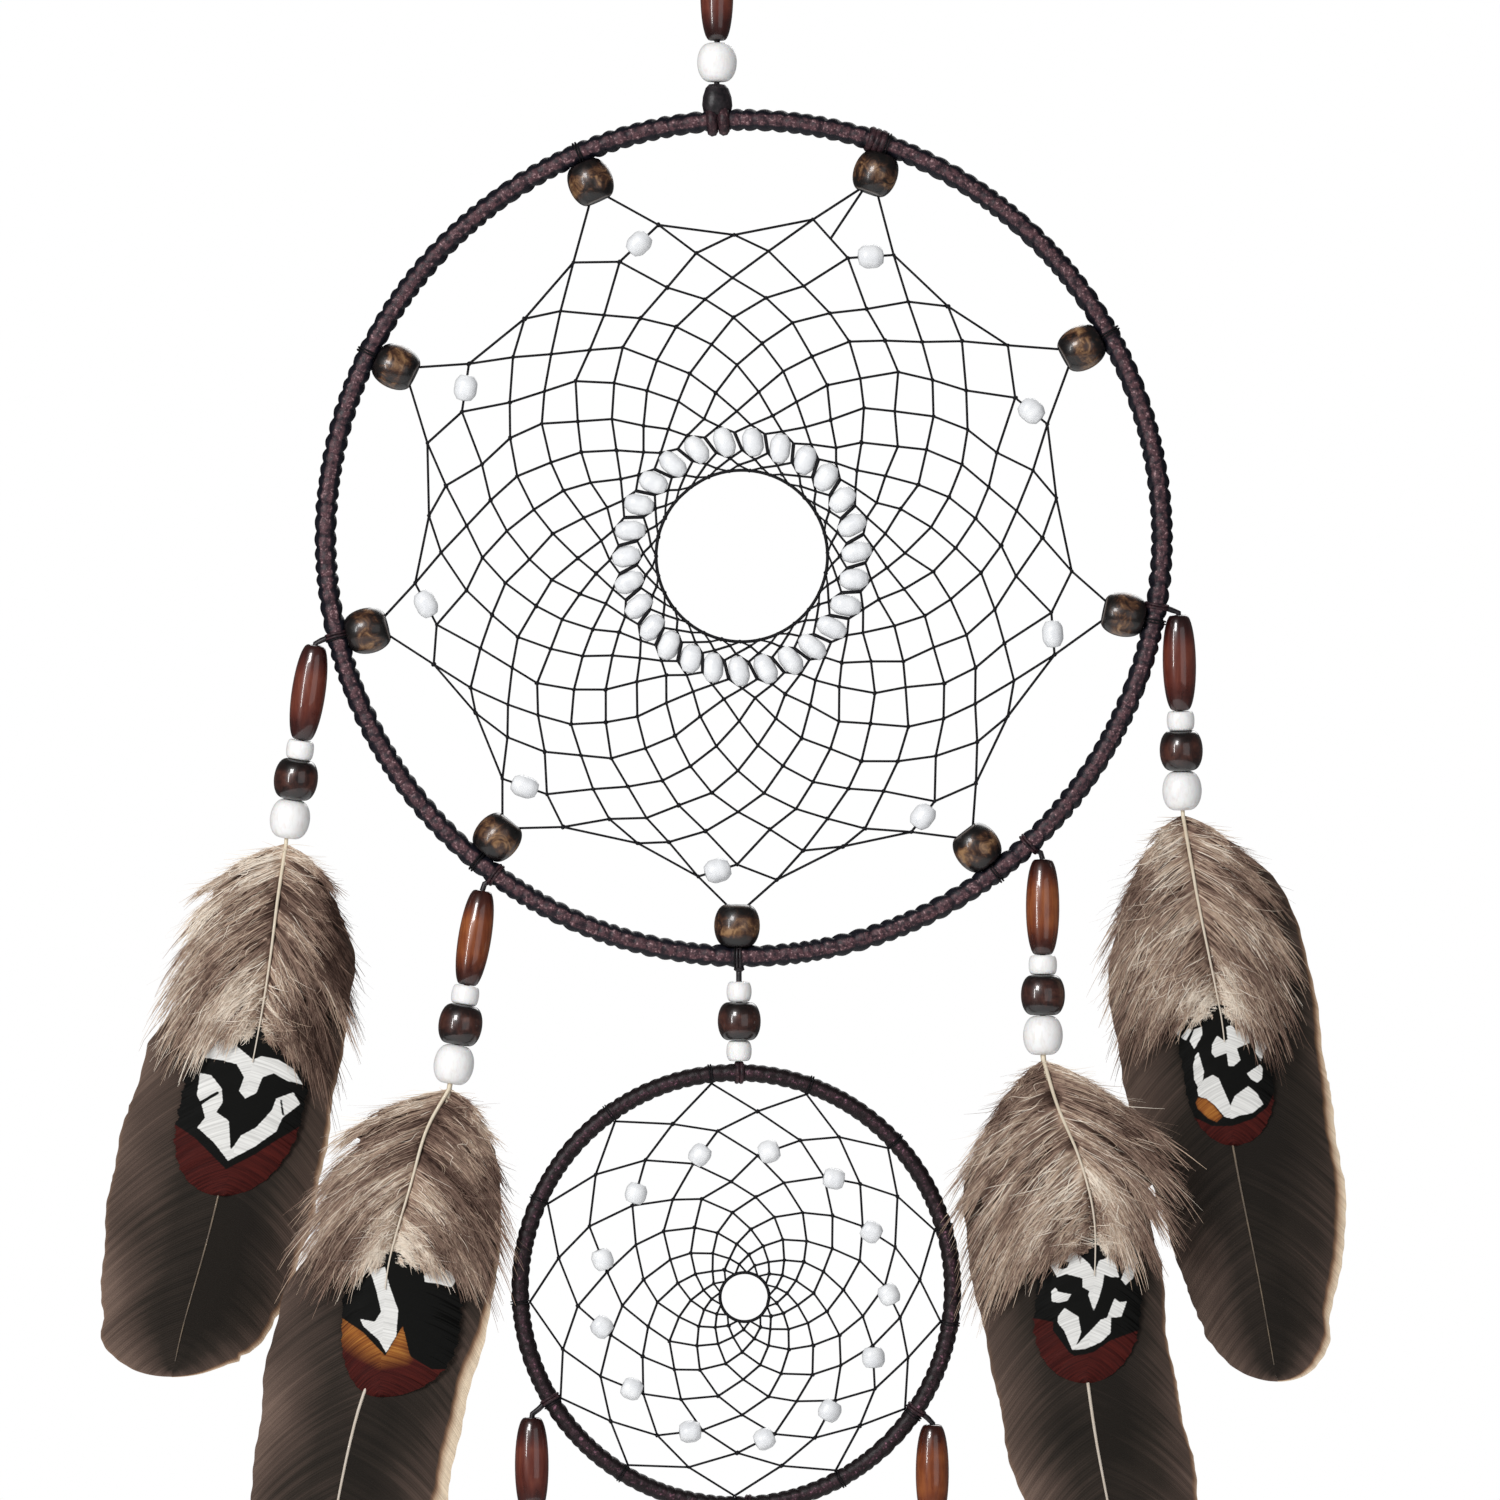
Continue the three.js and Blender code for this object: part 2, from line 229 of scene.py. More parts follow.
def grid_faces(rows, columns, wrap_columns=False, wrap_rows=False):
    """Quads between points that are listed row by row."""
    r = np.arange(rows if wrap_rows else rows - 1)
    c = np.arange(columns if wrap_columns else columns - 1)
    r, c = np.meshgrid(r, c, indexing="ij")
    r2, c2 = (r + 1) % rows, (c + 1) % columns
    quads = np.stack([r * columns + c, r * columns + c2, r2 * columns + c2, r2 * columns + c], axis=-1)
    return quads.reshape(-1, 4)


def transport(points, closed=False):
    """Tangents and two steady side directions along a line of points."""
    points = np.asarray(points, float)
    if closed:
        tangents = unit(np.roll(points, -1, axis=0) - np.roll(points, 1, axis=0))
    else:
        tangents = unit(np.gradient(points, axis=0))
    start = np.cross(tangents[0], [0.31, 0.87, 0.37])
    sides = np.zeros_like(points)
    sides[0] = unit(start)
    for i in range(1, len(points)):
        sides[i] = unit(sides[i - 1] - (sides[i - 1] @ tangents[i]) * tangents[i])
    return tangents, sides, np.cross(tangents, sides)


def tube(builder, points, radius, sides=8, slot=0, closed=False, shape=None):
    """A round rod along points, with rounded ends; radius is a number or one for each point.
    shape(angle, distance along) scales the radius, so a rod can be laid from strands."""
    points = np.asarray(points, float)
    radius = np.broadcast_to(np.asarray(radius, float), (len(points),)).copy()
    if not closed:
        tangents = unit(np.gradient(points, axis=0))
        cap = 0.6 * radius
        ends = [points[0] - tangents[0] * cap[0], points[-1] + tangents[-1] * cap[-1]]
        points = np.concatenate([[ends[0]], points, [ends[1]]])
        radius = np.concatenate([[radius[0] * 0.55], radius, [radius[-1] * 0.55]])
    _, a, b = transport(points, closed)
    angles = np.arange(sides) * 2 * np.pi / sides
    along = np.concatenate([[0], np.cumsum(np.linalg.norm(np.diff(points, axis=0), axis=1))])
    scale = np.ones((len(points), sides))
    if shape:
        scale = shape(angles[None, :], along[:, None])
    reach = radius[:, None] * scale
    ring = np.cos(angles)[None, :, None] * a[:, None] + np.sin(angles)[None, :, None] * b[:, None]
    surface = (points[:, None] + reach[..., None] * ring).reshape(-1, 3)
    builder.add(
        surface,
        grid_faces(len(points), sides, wrap_columns=True, wrap_rows=closed),
        slot,
        along=np.repeat(along, sides),
    )
    if not closed:
        builder.close_ends(len(surface), sides, slot)


def smooth_line(points, count):
    """A Catmull-Rom curve through the points, evenly spaced."""
    points = np.asarray(points, float)
    padded = np.concatenate([[2 * points[0] - points[1]], points, [2 * points[-1] - points[-2]]])
    fine = []
    for i in range(len(points) - 1):
        p0, p1, p2, p3 = padded[i : i + 4]
        t = np.linspace(0, 1, 24, endpoint=False)[:, None]
        square, cube = 2 * p0 - 5 * p1 + 4 * p2 - p3, 3 * p1 - p0 - 3 * p2 + p3
        fine.append(0.5 * (2 * p1 + (p2 - p0) * t + square * t**2 + cube * t**3))
    fine = np.concatenate([*fine, points[-1:]])
    along = np.concatenate([[0], np.cumsum(np.linalg.norm(np.diff(fine, axis=0), axis=1))])
    at = np.linspace(0, along[-1], count)
    return np.stack([np.interp(at, along, fine[:, k]) for k in range(fine.shape[1])], axis=1)


def basis(axis):
    """Three directions at right angles, the last along axis."""
    axis = unit(axis)
    side = unit(np.cross([0, 1, 0], axis) if abs(axis[1]) < 0.9 else np.cross([1, 0, 0], axis))
    return side, np.cross(axis, side), axis


def lathe(builder, centre, axis, profile, segments, wobble=0.0, seed=0):
    """A profile of (radius, height) that closes on itself, turned about an axis, a little out of true."""
    rng = np.random.default_rng(seed)
    profile = np.asarray(profile, float)
    side, other, axis = basis(axis)
    angles = np.arange(segments) * 2 * np.pi / segments
    phase = rng.uniform(0, 2 * np.pi, 3)
    uneven = 1 + wobble * (np.sin(angles * 2 + phase[0]) + 0.5 * np.sin(angles * 3 + phase[1]))
    lean = wobble * 0.6 * np.sin(angles + phase[2])
    r = profile[:, 0][:, None] * uneven[None]
    h = profile[:, 1][:, None] + profile[:, 0][:, None] * lean[None]
    ring = np.cos(angles)[None, :, None] * side + np.sin(angles)[None, :, None] * other
    points = centre + r[..., None] * ring + h[..., None] * axis
    half = np.abs(profile[:, 1]).max()
    builder.add(
        points.reshape(-1, 3),
        grid_faces(len(profile), segments, wrap_columns=True, wrap_rows=True),
        height=np.repeat(profile[:, 1] / half, segments),
        seed=float(seed % 97) / 97,
    )


# ---------------------------------------------------------------- materials


class Shader:
    """A Principled material with short ways to add nodes."""

    def __init__(self, name, **sockets):
        self.material = bpy.data.materials.new(name)
        self.material.use_nodes = True
        self.tree = self.material.node_tree
        self.bsdf = self.tree.nodes["Principled BSDF"]
        for socket, value in sockets.items():
            self.set(socket.replace("_", " "), value)

    def set(self, socket, value):
        target = self.bsdf.inputs[socket]
        if isinstance(value, bpy.types.NodeSocket):
            self.tree.links.new(value, target)
        else:
            colour = target.type == "RGBA" and len(value) == 3
            target.default_value = (*value, 1) if colour else value

    def node(self, kind, inputs=(), **settings):
        made = self.tree.nodes.new("ShaderNode" + kind)
        for key, value in settings.items():
            setattr(made, key, value)
        for key, value in dict(inputs).items():
            if isinstance(value, bpy.types.NodeSocket):
                self.tree.links.new(value, made.inputs[key])
            else:
                made.inputs[key].default_value = value
        return made

    def attribute(self, name):
        """A number that the mesh keeps at each point."""
        return self.node("Attribute", attribute_name=name).outputs["Fac"]

    def place(self, scale=(1, 1, 1)):
        where = self.node("TexCoord").outputs["Object"]
        return self.node("Mapping", {"Vector": where, "Scale": scale}).outputs["Vector"]

    def noise(self, scale, detail=3.0, roughness=0.55, vector=None, distortion=0.0):
        inputs = {"Vector": vector or self.place(), "Scale": scale, "Detail": detail}
        inputs.update({"Roughness": roughness, "Distortion": distortion})
        return self.node("TexNoise", inputs).outputs["Fac"]

    def math(self, operation, a, b=0.0):
        return self.node("Math", {0: a, 1: b}, operation=operation).outputs["Value"]

    def ramp(self, factor, *stops):
        made = self.node("ValToRGB", {"Fac": factor})
        elements = made.color_ramp.elements
        while len(elements) < len(stops):
            elements.new(0.5)
        for element, (place, colour) in zip(elements, stops):
            element.position = place
            element.color = (*colour, 1)
        return made.outputs["Color"]

    def range(self, value, low, high, to_low=0.0, to_high=1.0):
        inputs = {"Value": value, "From Min": low, "From Max": high, "To Min": to_low, "To Max": to_high}
        return self.node("MapRange", inputs).outputs["Result"]

    def mix(self, factor, a, b):
        a, b = ((*colour, 1) if isinstance(colour, tuple) else colour for colour in (a, b))
        made = self.node("Mix", {0: factor, 6: a, 7: b}, data_type="RGBA")
        return made.outputs[2]

    def roughness(self, texture, low, high):
        self.set("Roughness", self.range(texture, 0.2, 0.8, low, high))

    def bump(self, height, strength, distance):
        inputs = {"Height": height, "Strength": strength, "Distance": distance}
        self.set("Normal", self.node("Bump", inputs).outputs["Normal"])


def floor_material():
    s = Shader("pale_floor", Roughness=0.8)
    s.set("Base Color", s.ramp(s.noise(6), (0.3, (0.86, 0.86, 0.855)), (0.7, (0.9, 0.9, 0.895))))
    return s.material


def cord_material():
    s = Shader("twisted_cord", Roughness=0.45, Sheen_Weight=0.06, Sheen_Tint=(0.5, 0.38, 0.45))
    fibre = s.noise(900, 4)
    s.set("Base Color", s.ramp(fibre, (0.35, (0.005, 0.004, 0.006)), (0.8, (0.03, 0.02, 0.024))))
    s.bump(fibre, 0.5, 0.0002)
    return s.material


def thread_material():
    s = Shader("waxed_thread", Roughness=0.6, Specular_IOR_Level=0.2)
    fibre = s.noise(1600, 2)
    s.set("Base Color", s.ramp(fibre, (0.3, (0.002, 0.002, 0.003)), (0.8, (0.012, 0.011, 0.014))))
    s.bump(fibre, 0.3, 0.0001)
    return s.material


def satin(s, edge, band, fleck, flecks):
    """Satin cord's colour: mottled, with small light flecks; returns it and its mottling."""
    mottle = s.noise(700, 4, 0.65)
    speck = s.noise(1500, 2, 0.6)
    colour = s.mix(s.range(mottle, 0.38, 0.58, 0.15, 1.0), edge, band)
    bright = s.math("MULTIPLY", s.range(speck, flecks, flecks + 0.1), s.range(mottle, 0.42, 0.6))
    return s.mix(bright, colour, fleck), mottle


def winding_material(name, edge, band, fleck, flecks, narrow):
    """Painted sheen: the turns of satin cord are coloured lighter on the front and back of the tube, as if
    catching light, and dark at its rims; painted shade dims that band in the grooves between turns.
    """
    s = Shader(name, Specular_IOR_Level=0.3)
    colour, mottle = satin(s, edge, band, fleck, flecks)
    rough = s.math("MULTIPLY", s.math("SUBTRACT", mottle, 0.5), 0.16)
    # Painted sheen band where the tube faces front or back, with ragged edges from the mottling.
    painted_sheen_band = s.range(s.math("ADD", s.attribute("facing"), rough), narrow, narrow + 0.13)
    # Painted shade: the painted sheen drops to 0.3 in the grooves between turns.
    lit = s.math("MULTIPLY", painted_sheen_band, s.range(s.attribute("groove"), 0.1, 0.6, 0.3, 1.0))
    s.set("Base Color", s.mix(lit, edge, colour))
    s.roughness(mottle, 0.36, 0.6)
    s.bump(s.math("ADD", s.math("MULTIPLY", s.noise(2600, 2, 0.6), 0.5), mottle), 0.5, 0.00025)
    return s.material


def satin_material():
    """Loose turns of the winding's cord over the hoop, and the top knot's legs, where this mauve is painted
    light on the near-black cord.
    """
    s = Shader("satin_turns_and_lit_cord", Roughness=0.45, Specular_IOR_Level=0.3)
    colour, mottle = satin(s, (0.006, 0.004, 0.007), (0.05, 0.022, 0.027), (0.22, 0.12, 0.12), 0.6)
    s.set("Base Color", colour)
    s.bump(mottle, 0.5, 0.00025)
    return s.material


def steel_material():
    s = Shader("ring_wire", Metallic=1.0)
    grain = s.noise(400, 3, vector=s.place((1, 1, 8)))
    s.set("Base Color", s.ramp(grain, (0.2, (0.35, 0.35, 0.36)), (0.8, (0.6, 0.6, 0.6))))
    s.set("Roughness", s.range(grain, 0, 1, 0.25, 0.5))
    return s.material


def burnt_wood_material():
    """Hoop beads: golden patches round the waist, darker to near black towards the ends, and a pale ring at
    the inner end.
    """
    s = Shader("burnt_wood", Coat_Weight=0.5, Coat_Roughness=0.14)
    end = s.attribute("height")
    shift = s.node("CombineXYZ", {axis: s.attribute("seed") for axis in "XYZ"}).outputs[0]
    where = s.node("VectorMath", {0: s.place(), 1: shift}, operation="ADD").outputs[0]
    cloud = s.noise(290, 4, 0.6, where, 1.2)
    grain = s.noise(900, 4, 0.7, where, 1.5)
    patch = s.math("ADD", s.range(cloud, 0.3, 0.7, 0.22, 0.82), s.math("MULTIPLY", grain, 0.22))
    patch = s.math("SUBTRACT", patch, s.range(s.math("ABSOLUTE", end), 0.35, 0.85, 0, 0.5))
    colour = s.ramp(
        patch,
        (0.2, (0.004, 0.003, 0.003)),
        (0.42, (0.012, 0.006, 0.004)),
        (0.56, (0.045, 0.017, 0.009)),
        (0.7, (0.12, 0.055, 0.024)),
        (0.9, (0.32, 0.175, 0.078)),
    )
    # A pale grey-brown ring just inside the inner end, black at the bore.
    inner_end_ring = s.ramp(
        s.range(end, -1.0, -0.9),
        (0.3, (0.004, 0.004, 0.004)),
        (0.45, (0.2, 0.18, 0.17)),
        (1.0, (0.05, 0.03, 0.02)),
    )
    s.set("Base Color", s.mix(s.range(end, -0.93, -0.86, 1, 0), colour, inner_end_ring))
    s.roughness(grain, 0.28, 0.5)
    s.bump(grain, 0.25, 0.0002)
    return s.material


def dark_wood_material():
    s = Shader("dark_wood", Coat_Weight=0.9, Coat_Roughness=0.06)
    height = s.math("ABSOLUTE", s.attribute("height"))
    cloud = s.noise(260, 4, 0.6, distortion=0.8)
    grain = s.noise(500, 5, 0.7, s.place((6, 6, 1)), 0.4)
    warm = s.math("ADD", cloud, s.math("MULTIPLY", grain, 0.3))
    colour = s.ramp(
        s.math("SUBTRACT", warm, s.range(height, 0.3, 0.95, 0, 0.5)),
        (0.2, (0.005, 0.003, 0.003)),
        (0.45, (0.017, 0.006, 0.005)),
        (0.62, (0.045, 0.014, 0.01)),
        (0.85, (0.1, 0.034, 0.022)),
    )
    s.set("Base Color", colour)
    s.roughness(grain, 0.25, 0.42)
    s.bump(grain, 0.15, 0.0002)
    return s.material


def pipe_material(name, deep, middle_tone, light):
    """Tube beads: lacquered wood with grain along the bore, dark at both ends."""
    s = Shader(name, Coat_Weight=1.0, Coat_Roughness=0.05)
    height = s.math("ABSOLUTE", s.attribute("height"))
    grain = s.noise(200, 4, 0.6, s.place((3, 3, 0.5)), 0.5)
    tone = s.math("ADD", s.range(grain, 0.2, 0.8, 0.38, 0.66), s.math("MULTIPLY", s.noise(90, 3), 0.4))
    tone = s.math("SUBTRACT", tone, s.range(height, 0.35, 1.0, 0, 0.5))
    colour = s.ramp(tone, (0.15, (0.008, 0.002, 0.002)), (0.45, deep), (0.68, middle_tone), (0.92, light))
    s.set("Base Color", colour)
    s.roughness(grain, 0.22, 0.4)
    s.bump(grain, 0.05, 0.0002)
    return s.material


def white_bead_material():
    s = Shader("white_bead", Coat_Weight=0.35, Coat_Roughness=0.2)
    grain = s.noise(340, 5, 0.6, s.place((3, 3, 1)), 0.5)
    s.set("Base Color", s.ramp(grain, (0.25, (0.84, 0.8, 0.77)), (0.55, (0.95, 0.94, 0.93))))
    s.roughness(grain, 0.3, 0.5)
    s.set("Subsurface Weight", 0.15)
    s.set("Subsurface Radius", (0.003, 0.002, 0.0015))
    s.bump(grain, 0.1, 0.0003)
    return s.material


def seed_bead_material():
    s = Shader("milky_glass", Coat_Weight=0.35, Coat_Roughness=0.2)
    cloud = s.noise(300, 3, 0.5)
    s.set("Base Color", s.ramp(cloud, (0.3, (0.8, 0.81, 0.83)), (0.7, (0.94, 0.945, 0.95))))
    s.roughness(cloud, 0.35, 0.5)
    return s.material


def vane_material(name, cream):
    """A long wing feather: dark brown barbs, paler towards the edges, with a cream rim.
    edge is 0 at the quill and 1 at the rim; side is -1 on the left; barb counts the barbs."""
    s = Shader(name, Roughness=0.7, Specular_IOR_Level=0.12)
    edge, side, barb = s.attribute("edge"), s.attribute("side"), s.attribute("barb")
    row = s.node("CombineXYZ", {"X": barb, "Y": s.math("MULTIPLY", edge, 0.6), "Z": side}).outputs[0]
    streak = s.noise(0.4, 3, 0.75, row)
    fine = s.noise(2.6, 2, 0.6, row)
    pale = s.range(edge, 0.3, 1.0, 0, 0.62)
    for more in (
        s.range(s.noise(30, 2, 0.5), 0.35, 0.7, -0.12, 0.25),
        s.range(streak, 0.3, 0.75, -0.14, 0.24),
        s.range(side, -1, 1, 0.1, -0.08),
    ):
        pale = s.math("ADD", pale, more)
    colour = s.ramp(
        pale,
        (0.0, (0.014, 0.0108, 0.0082)),
        (0.3, (0.027, 0.0198, 0.0152)),
        (0.65, (0.078, 0.052, 0.041)),
        (1.0, (0.17, 0.115, 0.09)),
    )
    width = s.math("MULTIPLY", s.attribute("rim"), 0.13)
    over = s.math("ADD", s.math("SUBTRACT", edge, 0.96), width)
    rim = s.math("MULTIPLY", s.range(over, 0.0, 0.05), s.range(width, 0.0, 0.03))
    rim = s.math("MULTIPLY", rim, s.range(fine, 0.2, 0.6, 0.55, 1.0))
    pale_rim = s.mix(s.range(over, 0.02, 0.1), (0.3, 0.15, 0.075), cream)
    s.set("Base Color", s.mix(rim, colour, pale_rim))
    wave = s.math("SINE", s.math("MULTIPLY", barb, 2 * math.pi))
    s.bump(s.math("ADD", s.math("MULTIPLY", wave, 0.5), fine), 0.4, 0.00015)
    return s.material


def tip_material():
    """A short body feather's tip: black, white and coloured patches, by the amounts kept at each point."""
    s = Shader("patterned_tip", Roughness=0.66, Specular_IOR_Level=0.1)
    barb, edge = s.attribute("barb"), s.attribute("edge")
    row = s.node("CombineXYZ", {"X": barb, "Y": s.math("MULTIPLY", edge, 0.8), "Z": s.attribute("side")})
    fray = s.noise(0.8, 3, 0.7, row.outputs[0])
    ragged = s.math("MULTIPLY", s.math("SUBTRACT", fray, 0.5), 0.5)
    white = s.range(s.math("ADD", s.attribute("white"), ragged), 0.42, 0.58)
    warm = s.range(s.math("ADD", s.attribute("warm"), s.math("MULTIPLY", ragged, 0.7)), 0.4, 0.6)
    maroon = s.ramp(fray, (0.3, (0.022, 0.003, 0.003)), (0.7, (0.08, 0.011, 0.008)))
    amber = s.ramp(fray, (0.3, (0.13, 0.035, 0.01)), (0.5, (0.3, 0.1, 0.02)), (0.75, (0.52, 0.24, 0.05)))
    colour = s.mix(warm, (0.004, 0.004, 0.0035), s.mix(s.attribute("gold"), maroon, amber))
    cream = s.ramp(fray, (0.25, (0.5, 0.49, 0.47)), (0.6, (0.8, 0.79, 0.76)))
    s.set("Base Color", s.mix(white, colour, cream))
    s.bump(s.math("SINE", s.math("MULTIPLY", barb, 2 * math.pi)), 0.12, 0.00012)
    return s.material


def down_material():
    """Down: tone runs from dark mauve brown through tan to cream, set strand by strand."""
    s = Shader("down", Roughness=0.75, Specular_IOR_Level=0.06)
    colour = s.ramp(
        s.math("ADD", s.attribute("tone"), s.range(s.noise(500, 2), 0.3, 0.7, -0.06, 0.06)),
        (0.0, (0.03, 0.017, 0.013)),
        (0.28, (0.118, 0.071, 0.055)),
        (0.52, (0.285, 0.187, 0.142)),
        (0.75, (0.55, 0.41, 0.305)),
        (1.0, (0.9, 0.8, 0.68)),
    )
    s.set("Base Color", colour)
    return s.material


def quill_material(name, root, middle_tone, tip):
    s = Shader(name, Roughness=0.35, Coat_Weight=0.2)
    colour = s.ramp(s.range(s.attribute("along"), 0.0, 0.12), (0, root), (0.45, middle_tone), (1, tip))
    s.set("Base Color", s.mix(s.range(s.noise(300, 3), 0.3, 0.8, 0, 0.35), colour, (0.45, 0.33, 0.2)))
    return s.material


WEB_THREAD = thread_material()
CORD = cord_material()
SEED = seed_bead_material()
WHITE = white_bead_material()
DARK_WOOD = dark_wood_material()
BURNT_WOOD = burnt_wood_material()
STEEL = steel_material()
SATIN_AND_LIT_CORD = satin_material()
# Each winding: rim colour, painted sheen colour for the front and back of the tube, fleck colour, fleck
# threshold, and where the painted sheen band starts.
BIG_WINDING = winding_material(
    "satin_winding", (0.005, 0.005, 0.01), (0.1, 0.044, 0.052), (0.42, 0.26, 0.27), 0.56, 0.8
)
SMALL_WINDING = winding_material(
    "dark_winding", (0.008, 0.004, 0.005), (0.045, 0.018, 0.025), (0.3, 0.13, 0.19), 0.56, 0.88
)
RED_PIPE = pipe_material("red_tube_wood", (0.045, 0.008, 0.006), (0.115, 0.022, 0.013), (0.22, 0.055, 0.028))
AMBER_PIPE = pipe_material("amber_tube_wood", (0.06, 0.011, 0.005), (0.19, 0.042, 0.011), (0.4, 0.12, 0.028))
VANE = vane_material("wing_barbs", (0.78, 0.63, 0.46))
TIP = tip_material()
DOWN = down_material()
QUILL = quill_material("quill", (0.76, 0.66, 0.5), (0.72, 0.64, 0.54), (0.55, 0.48, 0.41))
DARK_QUILL = quill_material("dark_quill", (0.5, 0.42, 0.32), (0.16, 0.125, 0.1), (0.09, 0.07, 0.055))


def finish_piece(made, body, slot, *nodes):
    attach(made, body)
    if nodes:
        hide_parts(*nodes)
    return made


# ---------------------------------------------------------------- hoops


def wind_hoop(hoop, turns, material, slot, depth, seed):
    """Flat cord wound round the ring: each turn is a rounded ridge that leans along the tube."""
    rng = np.random.default_rng(seed)
    samples, sides = 8, 28
    rows = turns * samples
    turn = np.arange(rows) / samples
    thirds = np.arange(0, turns + 4, 3)
    wander = 0.18 * np.sin(turn * 0.9) + np.interp(turn, thirds, rng.normal(0, 0.22, len(thirds)))
    wander *= np.sin(np.pi * turn / turns) ** 0.2
    height = 1 + np.interp(turn, np.arange(turns + 1), rng.normal(0, 0.22, turns + 1))
    angles = np.arange(sides) * 2 * np.pi / sides
    lean = 0.32 * np.sin(angles)[None, :]
    phase = (turn[:, None] + wander[:, None] + lean) % 1.0
    ridge = np.abs(np.sin(np.pi * phase)) ** 0.55
    rise = depth * (ridge - 0.8) * height[:, None] * (1 - 0.72 * np.abs(np.sin(angles))[None] ** 1.5)
    tube_radius = hoop.tube - 0.12 * MM + rise
    around = 2 * np.pi * turn / turns + math.radians(90)
    outward = np.stack([np.cos(around), np.zeros(rows), np.sin(around)], axis=-1)
    ring = hoop.ring - 0.05 * MM
    centre = hoop.centre + outward * ring
    radial = np.cos(angles)[None, :, None] * outward[:, None, :]
    sideways = np.sin(angles)[None, :, None] * np.array([0.0, 1.0, 0.0])
    points = centre[:, None, :] + tube_radius[..., None] * (radial + sideways)
    # facing and groove feed the winding material's painted sheen and its painted shade in the grooves.
    facing = np.broadcast_to(np.abs(np.sin(angles))[None, :], (rows, sides))
    builder = Builder()
    builder.add(
        points.reshape(-1, 3),
        grid_faces(rows, sides, wrap_columns=True, wrap_rows=True),
        facing=facing.ravel(),
        groove=ridge.ravel(),
    )
    made = builder.object(hoop.name + "_winding", [material])
    finish_piece(made, hoop.name, slot, hoop.name + "_wrap")


def hitch(builder, hoop, degrees, turns, radius, spread, lift, slot=0):
    """A few turns of cord round the hoop's tube at one place."""
    a = math.radians(degrees)
    outward = np.array([math.cos(a), 0, math.sin(a)])
    tangent = np.array([-math.sin(a), 0, math.cos(a)])
    reach = hoop.tube + lift + radius * 0.4
    for k in range(turns):
        angle = np.arange(28) * 2 * np.pi / 28
        shift = (k - (turns - 1) / 2) * spread
        loop = (
            hoop.centre
            + outward * hoop.ring
            + reach * (np.cos(angle)[:, None] * outward + np.sin(angle)[:, None] * np.array([0, 1, 0]))
            + (shift + 0.25 * spread * np.sin(angle))[:, None] * tangent
        )
        tube(builder, loop, radius, 8, slot, closed=True)


# ---------------------------------------------------------------- webs


def half_step(angles):
    """The angles half way from each to the next."""
    after = np.concatenate([angles[1:], [angles[0] + 2 * np.pi]])
    return (angles + after) / 2


def polar(centre, radius, angles):
    radius = np.broadcast_to(radius, angles.shape)
    return centre + np.stack([radius * np.cos(angles), 0 * angles, radius * np.sin(angles)], axis=1)


def thread(builder, a, b, radius=0.33 * MM, steps=2):
    """One straight stretch of web thread between two knots."""
    tube(builder, a + (b - a) * np.linspace(0, 1, steps + 1)[:, None], radius, 6)


def knot(builder, place, radius, seed):
    """A small hitch: a squashed ball, turned at random."""
    rng = np.random.default_rng(seed)
    rings, sides = 4, 7
    phi = np.linspace(0.25, np.pi - 0.25, rings)
    theta = np.arange(sides) * 2 * np.pi / sides + rng.uniform(0, 1)
    shape = np.array([1.25, 0.9, 0.95]) * radius * rng.uniform(0.85, 1.15)
    turn = rng.uniform(0, np.pi)
    x = np.sin(phi)[:, None] * np.cos(theta)[None, :] * shape[0]
    y = np.sin(phi)[:, None] * np.sin(theta)[None, :] * shape[1]
    z = np.cos(phi)[:, None] * np.ones(sides)[None, :] * shape[2]
    across = x * math.cos(turn) - z * math.sin(turn)
    up = x * math.sin(turn) + z * math.cos(turn)
    points = place + np.stack([across, y, up], axis=-1).reshape(-1, 3)
    builder.add(points, grid_faces(rings, sides, wrap_columns=True))
    builder.close_ends(len(points), sides)


def seed_bead(builder, place, along, length, width, seed, tapered=0.62):
    """A small glass bead threaded along a direction, six-sided in outline with soft corners."""
    rng = np.random.default_rng(seed)
    length, width = length * rng.uniform(0.95, 1.05), width * rng.uniform(0.96, 1.04)
    bore = 0.42 * MM
    corners = [(tapered, -0.5), (0.97, -0.25), (1.0, 0.0), (0.97, 0.25), (tapered, 0.5)]
    line = smooth_line(corners, 13)
    outer = [(r * width / 2, h * length) for r, h in line]
    shoulder = 0.25 * MM
    profile = [(bore, -length / 2 - shoulder), *outer, (bore, length / 2 + shoulder)]
    lathe(builder, place, along, profile, 20, 0.04, seed)


def bead_point(node):
    """Where the web's thread leaves a hoop bead: the middle of its inner end."""
    place = middle(node)
    return place + unit(BIG.centre - place) * 4.9 * MM


def jitter(points, amount, rng):
    move = rng.normal(0, amount, points.shape)
    move[:, 1] *= 0.5
    return points + move


